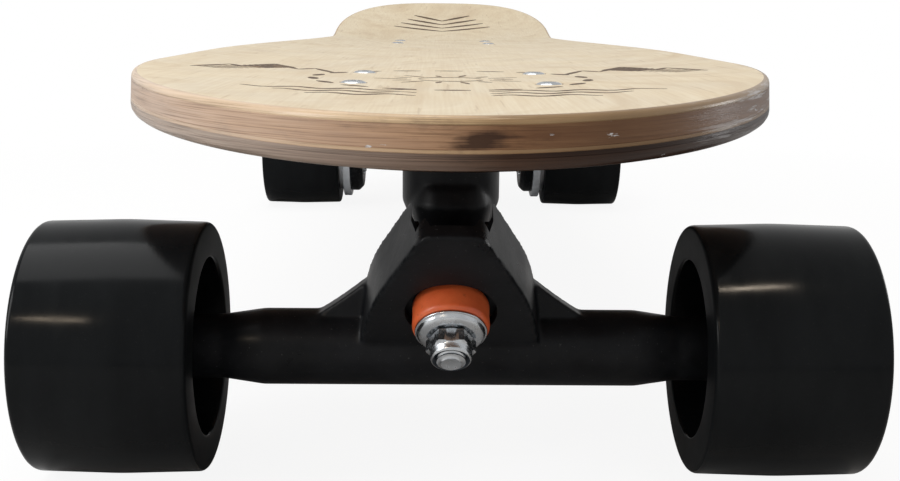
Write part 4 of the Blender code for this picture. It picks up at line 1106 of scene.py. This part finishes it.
def build_kingpin_stack(end):
    matrix = kingpin_frame(end)
    body = "board"
    build_bushings(end, matrix)
    profile = rounded(raised(WASHER, WASHER_START))
    washer = turned(f"{end}_dished_washer", profile, 72, matrix, ZINC)
    attach(washer, body, "zinc", f"{end}_cup_washer")
    form = lock_nut(0.00505, 0.00825, NUT_START, NUT_LENGTH, matrix)
    attach(piece(f"{end}_kingpin_lock_nut", form, ZINC, NYLON_PAINTED_SHADE), body, "zinc", f"{end}_kingpin_nut")
    rows = raised(KINGPIN_TIP, KINGPIN_END)
    rows += thread(KINGPIN_RADIUS, KINGPIN_END - 0.0008, NUT_START - 0.004, KINGPIN_PITCH)
    rows += [
        (KINGPIN_RADIUS, NUT_START - 0.0046), (KINGPIN_RADIUS, HEAD_FACE),
        hexagon(HEAD_RADIUS, HEAD_FACE), hexagon(HEAD_RADIUS, HEAD_END + 0.0008),
        (0.0066, HEAD_END), (0, HEAD_END),
    ]
    pin = turned(f"{end}_kingpin_bolt", rows, 48, matrix, ZINC, ring=False)
    attach(pin, body, "zinc", f"{end}_kingpin")


# Cast trucks: rough forms are joined, remeshed and smoothed so that every joint gets a fillet

VOXEL = 0.0009


def cast(name, base, joined, carved, machined, smoothing):
    """A casting: forms joined and carved, eased all over, then machined with sharp edges."""
    rough = link(name + "_rough", combined(base, joined, carved), CASTING)
    remesh = rough.modifiers.new("voxels", "REMESH")
    remesh.mode = "VOXEL"
    remesh.voxel_size = VOXEL
    ease = rough.modifiers.new("ease", "SMOOTH")
    ease.factor = 0.5
    ease.iterations = smoothing
    body = link(name + "_body", baked(rough))
    mesh = combined(body, [], machined)
    mesh.materials.clear()
    return link(name, mesh, CASTING)


def solid(name, rows, steps, matrix):
    return turned(name, rows, steps, matrix, ring=False)


def rod(name, matrix, radius, top, foot, steps):
    return solid(name, [(0, top), (radius, top), (radius, foot), (0, foot)], steps, matrix)


def box(name, low, high, matrix):
    form = bmesh.new()
    bmesh.ops.create_cube(form, size=1)
    middle = [(a + b) / 2 for a, b in zip(low, high)]
    for vertex in form.verts:
        spot = [m + c * (b - a) for m, c, a, b in zip(middle, vertex.co, low, high)]
        vertex.co = matrix @ Vector(spot)
    return piece(name, form)


def slab(name, outline, thickness, matrix):
    """A flat outline in local XY, thickened both ways along local Z."""
    form = bmesh.new()
    faces = []
    for z in (-thickness / 2, thickness / 2):
        faces.append([form.verts.new(matrix @ Vector((x, y, z))) for x, y in outline])
    form.faces.new(faces[0])
    form.faces.new(faces[1])
    bridge(form, *faces)
    return piece(name, form)


def both_sides(corners):
    """An outline from its right half, each corner eased by its third number."""
    left = [(-x, y, ease) for x, y, ease in reversed(corners)]
    return rounded(corners + left, steps=6)


UPRIGHT = (pi / 2, 0, 0)
BAR_RADIUS = 0.0136
BAR_HALF = 0.066
BAR_TAPER = 0.014
BAR_END_RADIUS = 0.0115
FRONT_BAR_END = 0.0996
BAR_SHOULDER = FRONT_BAR_END - 0.001
REAR_BAR_END = 0.0656
BAR = {
    "front": [
        (0, FRONT_BAR_END), (0.0062, FRONT_BAR_END), (0.0062, BAR_SHOULDER),
        (BAR_END_RADIUS, BAR_SHOULDER), (BAR_END_RADIUS, BAR_HALF + BAR_TAPER), (BAR_RADIUS, BAR_HALF),
    ],
    "rear": [(0, REAR_BAR_END), (0.0082, REAR_BAR_END), (BAR_RADIUS, REAR_BAR_END - BAR_TAPER / 2)],
}
YOKE_FRONT = 0.008
YOKE_RIM = -0.015
BELL = [(0.0315, 0.024, 0.003), (0.028, 0, 0.014), (0.0198, -0.018, 0.013), (0.0094, -0.0396, 0.005)]
PIVOT_LENGTH = 0.056
PIVOT_MOUTH = 0.0451
PIVOT_NOSE = [
    (0, PIVOT_LENGTH), (0.0046, PIVOT_LENGTH), (0.0065, PIVOT_LENGTH - 0.0032),
    (0.0065, PIVOT_MOUTH - CLEAR), (0.011, 0.018), (0, 0.018),
]
WING_REACH = 0.0505
WING = [(WING_REACH, 0, 0), (WING_REACH, 0.0106, 0), (0.039, 0.0178, 0.008), (0.028, 0.0262, 0.001)]
WING_THICKNESS = 0.01
SLOT = [(0.007, 0.003, 0), (0.0142, YOKE_RIM, 0), (0.0142, -0.026, 0)]
SLOT_FLOOR = 0.02
SLOT_LENGTH = 0.06
WAY = [(0.009, 0.046, 0), (0.0132, 0.0522, 0), (0.0132, 0.075, 0)]
WAY_FRONT = 0.0435
WAY_LENGTH = 0.07
LIP = ((0, 0.051, 0.049), (-radians(7.6), 0, 0))
TIPS = ((0, 0.036, 0.0508), (radians(5), 0, 0))
# Rods along the kingpin or the axle: radius, top, foot and steps
WEB_HALF = 0.004
CUP = (0.019, -WEB_HALF, -0.034, 64)
RECESS = (0.0155, 0.027, WEB_HALF, 64)
PIN_HOLE = (0.007, 0.008, -0.015, 40)
AXLE_BORE = {"front": (0.0043, 0.142, -0.142, 40), "rear": (0.0063, 0.142, -0.142, 40)}


def hanger_cuts(end, truck, kingpin, axle):
    """What is machined from a hanger: the slot and way for the neck, blunt tips, seats and bores."""
    upward = placed((0, -SLOT_FLOOR - SLOT_LENGTH / 2, 0), UPRIGHT)
    lengthwise = placed((0, WAY_FRONT - WAY_LENGTH / 2, 0), UPRIGHT)
    return [
        slab("slot", both_sides(SLOT), SLOT_LENGTH, kingpin @ upward),
        slab("way", both_sides(WAY), WAY_LENGTH, truck @ lengthwise),
        box("tips", (-0.056, -0.06, 0), (0.056, 0, 0.04), truck @ placed(*TIPS)),
        rod("cup", kingpin, *CUP),
        rod("recess", kingpin, *RECESS),
        rod("hole", kingpin, *PIN_HOLE),
        rod("bore", axle, *AXLE_BORE[end]),
    ]


def build_hanger(end):
    truck, kingpin = truck_frame(end), kingpin_frame(end)
    axle = truck @ placed((0, 0, 0), ALONG_AXLE)
    bar = solid("bar", mirrored(BAR[end]), 64, axle)
    along = placed((0, 0, (YOKE_FRONT + YOKE_RIM) / 2))
    yoke = slab("yoke", both_sides(BELL), YOKE_FRONT - YOKE_RIM, kingpin @ along)
    nose = solid("nose", PIVOT_NOSE, 40, pivot_frame(end))
    wing = slab("wing", both_sides(WING), WING_THICKNESS, truck @ placed((0, 0.001, 0), UPRIGHT))
    ceiling = box("ceiling", (-0.056, -0.08, 0), (0.056, 0.04, 0.04), truck @ placed(*LIP))
    cuts = hanger_cuts(end, truck, kingpin, axle)
    hanger = cast(f"{end}_hanger_casting", bar, [yoke, nose, wing], [ceiling], cuts, 5)
    attach(hanger, f"{end}_truck", "black_paint", f"{end}_hanger")


PLATE_TOP = 0.076
PLATE_BOTTOM = 0.07
PLATE_MIDDLE = (PLATE_TOP + PLATE_BOTTOM) / 2
PLATE = [(0.043, -0.093, 0.01), (0.043, 0.013, 0.01)]
NECK_STEP = 0.0525
NECK_FOOT = 0.04
NECK_BACK = -0.005
NECK = [
    (0, PLATE_MIDDLE), (0.0171, PLATE_MIDDLE), (0.0171, NECK_STEP), (0.0167, NECK_STEP - 0.0006),
    (0.0122, NECK_FOOT), (0, NECK_FOOT),
]
CHIN_TOP = 0.059
CHIN_END = 0.0442
CHIN_FORWARD = 0.001
CHIN = [(0, CHIN_TOP), (0.0128, CHIN_TOP), (0.0148, NECK_STEP), (0.0127, CHIN_END), (0, CHIN_END)]
POCKET_END = 0.0578 + CLEAR
HOUSING_END = POCKET_END + 0.004
HORN_HALF = 0.01
HORN_BACK = -0.042
HORN_FRONT = -0.027
# Rods along the kingpin, the pivot or the truck's own height: radius, top, foot and steps
BOSS = (0.0125, -0.0166, -0.0468, 56)
PIN_BORE = (0.00505, 0.008, -0.0581, 40)
HEAD_ROOM = (0.0083, -0.0456, -0.0556, 40)
HOUSING = (0.0108, HOUSING_END, PIVOT_MOUTH, 56)
CUP_POCKET = (0.0086, POCKET_END, 0.0386, 48)
PLATE_HOLE = (BOLT_HOLE, PLATE_TOP + 0.01, PLATE_BOTTOM - 0.01, 24)


def eased_horn(truck):
    """The block that carries the pivot housing under the plate."""
    foot = SEAT[2] - HOUSING_END * sin(PIVOT_TILT)
    horn = box("horn", (-HORN_HALF, HORN_BACK, foot), (HORN_HALF, HORN_FRONT, PLATE_MIDDLE), truck)
    bevel = horn.modifiers.new("round", "BEVEL")
    bevel.width = 0.0025
    bevel.segments = 3
    return link("horn", baked(horn))


def build_baseplate(end):
    truck, kingpin, pivot = truck_frame(end), kingpin_frame(end), pivot_frame(end)
    level = truck @ placed((0, 0, PLATE_MIDDLE))
    plate = slab("plate", both_sides(PLATE), PLATE_TOP - PLATE_BOTTOM, level)
    joined = [
        solid("neck", NECK, 64, truck @ placed((0, NECK_BACK, 0))),
        solid("chin", CHIN, 64, truck @ placed((0, CHIN_FORWARD, 0))),
        rod("boss", kingpin, *BOSS),
        rod("housing", pivot, *HOUSING),
        eased_horn(truck),
    ]
    cuts = [
        rod("pin_bore", kingpin, *PIN_BORE),
        rod("head_room", kingpin, *HEAD_ROOM),
        rod("pocket", pivot, *CUP_POCKET),
    ]
    cuts += [rod("plate_hole", truck @ placed(corner), *PLATE_HOLE) for corner in BOLT_CORNERS]
    base = cast(f"{end}_baseplate_casting", plate, joined, [], cuts, 4)
    attach(base, "board", "black_paint", f"{end}_baseplate")


for end in ENDS:
    build_kingpin_stack(end)
    build_hanger(end)
    build_baseplate(end)


# Truck bolts, each with its nut. Heights are counted from the plate's lower face

BOLT_LOW = AXLE_UP + PLATE_BOTTOM - CLEAR
BOLT_CROWN = 0.0011
BOLT_NUT = [
    (0.0038, 0), hexagon(0.0046, -0.0004), hexagon(0.0046, -0.0032), (0.0039, -0.0036),
    (0.0037, -0.0044), (0.0033, -0.005), (0.0026, -0.005), (0.0023, -0.0052),
    (0.0022, -0.0064), (0.0018, -0.0065), (0, -0.0065),
]


def build_bolts(end):
    for number, (x, y) in enumerate(bolt_spots(end), 1):
        top = deck_height(x, y) - CLEAR - BOLT_LOW
        rows = [
            (0, top - 0.0012), hexagon(0.0019, top - 0.0012), hexagon(0.002, top + 0.0007),
            (0.0027, top + BOLT_CROWN), (0.0036, top + BOLT_CROWN * 0.8),
            (0.0044, top + BOLT_CROWN * 0.45), (0.0048, top + BOLT_CROWN * 0.1),
            (0.0048, top - 0.0003), (0.0025, top - 0.0026), (0.0025, 0),
        ]
        form = spin(bmesh.new(), rows + BOLT_NUT, even(36), placed((x, y, BOLT_LOW)), ring=False)
        for face in form.faces:
            face.material_index = int(face.calc_center_median().z < DECK_BOTTOM)
        bolt = piece(f"{end}_deck_bolt_{number}", form, ZINC, BLACK_OXIDE)
        attach(bolt, "board", "zinc", f"{end}_truck_bolt_{number}")


for end in ENDS:
    build_bolts(end)


# Solids that stay as they are, with a better finish

KEPT_EASE = 0.0004
KEPT = (
    (RUBBER, ("front_riser", "rear_riser", "front_pivot_cup", "rear_pivot_cup")),
    (STEEL, ("rear_axle",)),
    (COPPER, ("rear_left_motor_stator", "rear_right_motor_stator")),
    (PLASTIC, ("tray", "charge_port")),
    (WRAP, ("battery_pack",)),
    (ALUMINIUM, ("speed_controller",)),
    (ZINC, ("power_button", "tray_screw_1", "tray_screw_2", "tray_screw_3", "tray_screw_4")),
)


def finish_kept(name, material):
    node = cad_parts[name]
    node.data.materials.clear()
    node.data.materials.append(material)
    ease = node.modifiers.new("ease", "BEVEL")
    ease.width = KEPT_EASE
    ease.segments = 2
    ease.limit_method = "ANGLE"
    ease.angle_limit = SHARP


for material, names in KEPT:
    for name in names:
        finish_kept(name, material)


# Stage: a white floor and sky, soft lamps and the camera

CAMERA_SPOT = (-0.0057, -0.74418, 0.16376)
CAMERA_YAW = radians(0.77)
CAMERA_PITCH = radians(11.03)
CAMERA_ROLL = radians(0.55)
CAMERA_LENS = 47.44
SKY_LIGHT = 0.42
SKY_SHEEN = 0.6


def build_floor():
    form = bmesh.new()
    bmesh.ops.create_grid(form, x_segments=24, y_segments=24, size=12)
    floor = piece("studio_floor", form)
    p = Paint("studio_floor", Roughness=0.9)
    tone = p.noise(3, 2)
    rays = p.node("LightPath")
    pale = p.span(tone, 0.56, 0.6)
    p.tint(p.shader.inputs["Base Color"], p.mix(rays.outputs["Is Camera Ray"], pale, 1))
    glow = p.node("Emission", {"Color": (1, 1, 1, 1), "Strength": 1.0})
    away = p.vector("LENGTH", p.where)["Value"]
    white = p.ramp(away, (0.4, 0.9), (0.85, 1))
    share = p.times(rays.outputs["Is Camera Ray"], white)
    both = p.node("MixShader", {0: share, 1: p.shader.outputs[0], 2: glow.outputs[0]})
    p.feed(p.tree.nodes["Material Output"].inputs["Surface"], both.outputs[0])
    floor.data.materials.append(p.material)


def build_world():
    world = bpy.data.worlds.new("studio")
    bpy.context.scene.world = world
    sky = Nodes(world)
    rays = sky.node("LightPath").outputs
    level = SKY_LIGHT
    for name, gain in (("Is Camera Ray", 1 - SKY_LIGHT), ("Is Glossy Ray", SKY_SHEEN - SKY_LIGHT)):
        level = sky.node("Math", {0: rays[name], 1: gain, 2: level}, operation="MULTIPLY_ADD").outputs[0]
    background = sky.tree.nodes["Background"]
    background.inputs["Color"].default_value = (1, 1, 1, 1)
    sky.feed(background.inputs["Strength"], level)


def add_lamp(name, spot, target, size, watts, color=(1, 1, 1)):
    data = bpy.data.lights.new(name, "AREA")
    data.shape = "RECTANGLE"
    data.size, data.size_y = size
    data.energy = watts
    data.color = color
    lamp = add(name, data)
    lamp.location = spot
    lamp.rotation_euler = (Vector(target) - Vector(spot)).to_track_quat("-Z", "Y").to_euler()


def build_camera():
    data = bpy.data.cameras.new("camera")
    data.lens = CAMERA_LENS
    data.sensor_width = 36
    data.clip_start = 0.01
    camera = add("camera", data)
    bpy.context.scene.camera = camera
    turn = Matrix.Rotation(-CAMERA_YAW, 4, "Z") @ Matrix.Rotation(pi / 2 - CAMERA_PITCH, 4, "X")
    turn = turn @ Matrix.Rotation(CAMERA_ROLL, 4, "Z")
    camera.matrix_world = Matrix.Translation(CAMERA_SPOT) @ turn


build_floor()
build_world()
add_lamp("above", (-0.35, -0.1, 1.7), (0, -0.1, 0.1), (1.3, 1.3), 14)
add_lamp("left_window", (-1.25, -0.85, 0.75), (0, -0.35, 0.1), (0.5, 0.9), 10)
add_lamp("right_window", (1.2, 0.3, 0.24), (0.1, -0.3, 0.13), (0.3, 0.3), 1.2)
add_lamp("front_strip", (-0.85, -1.75, 1.15), (-0.1, -0.33, 0.06), (0.25, 0.04), 2.4, (1, 0.82, 0.62))
add_lamp("high_strip", (0.34, -0.81, 1.36), (0.11, -0.33, 0.06), (0.22, 0.035), 2.4, (1, 0.85, 0.68))
build_camera()

bpy.context.scene.view_settings.view_transform = "Standard"
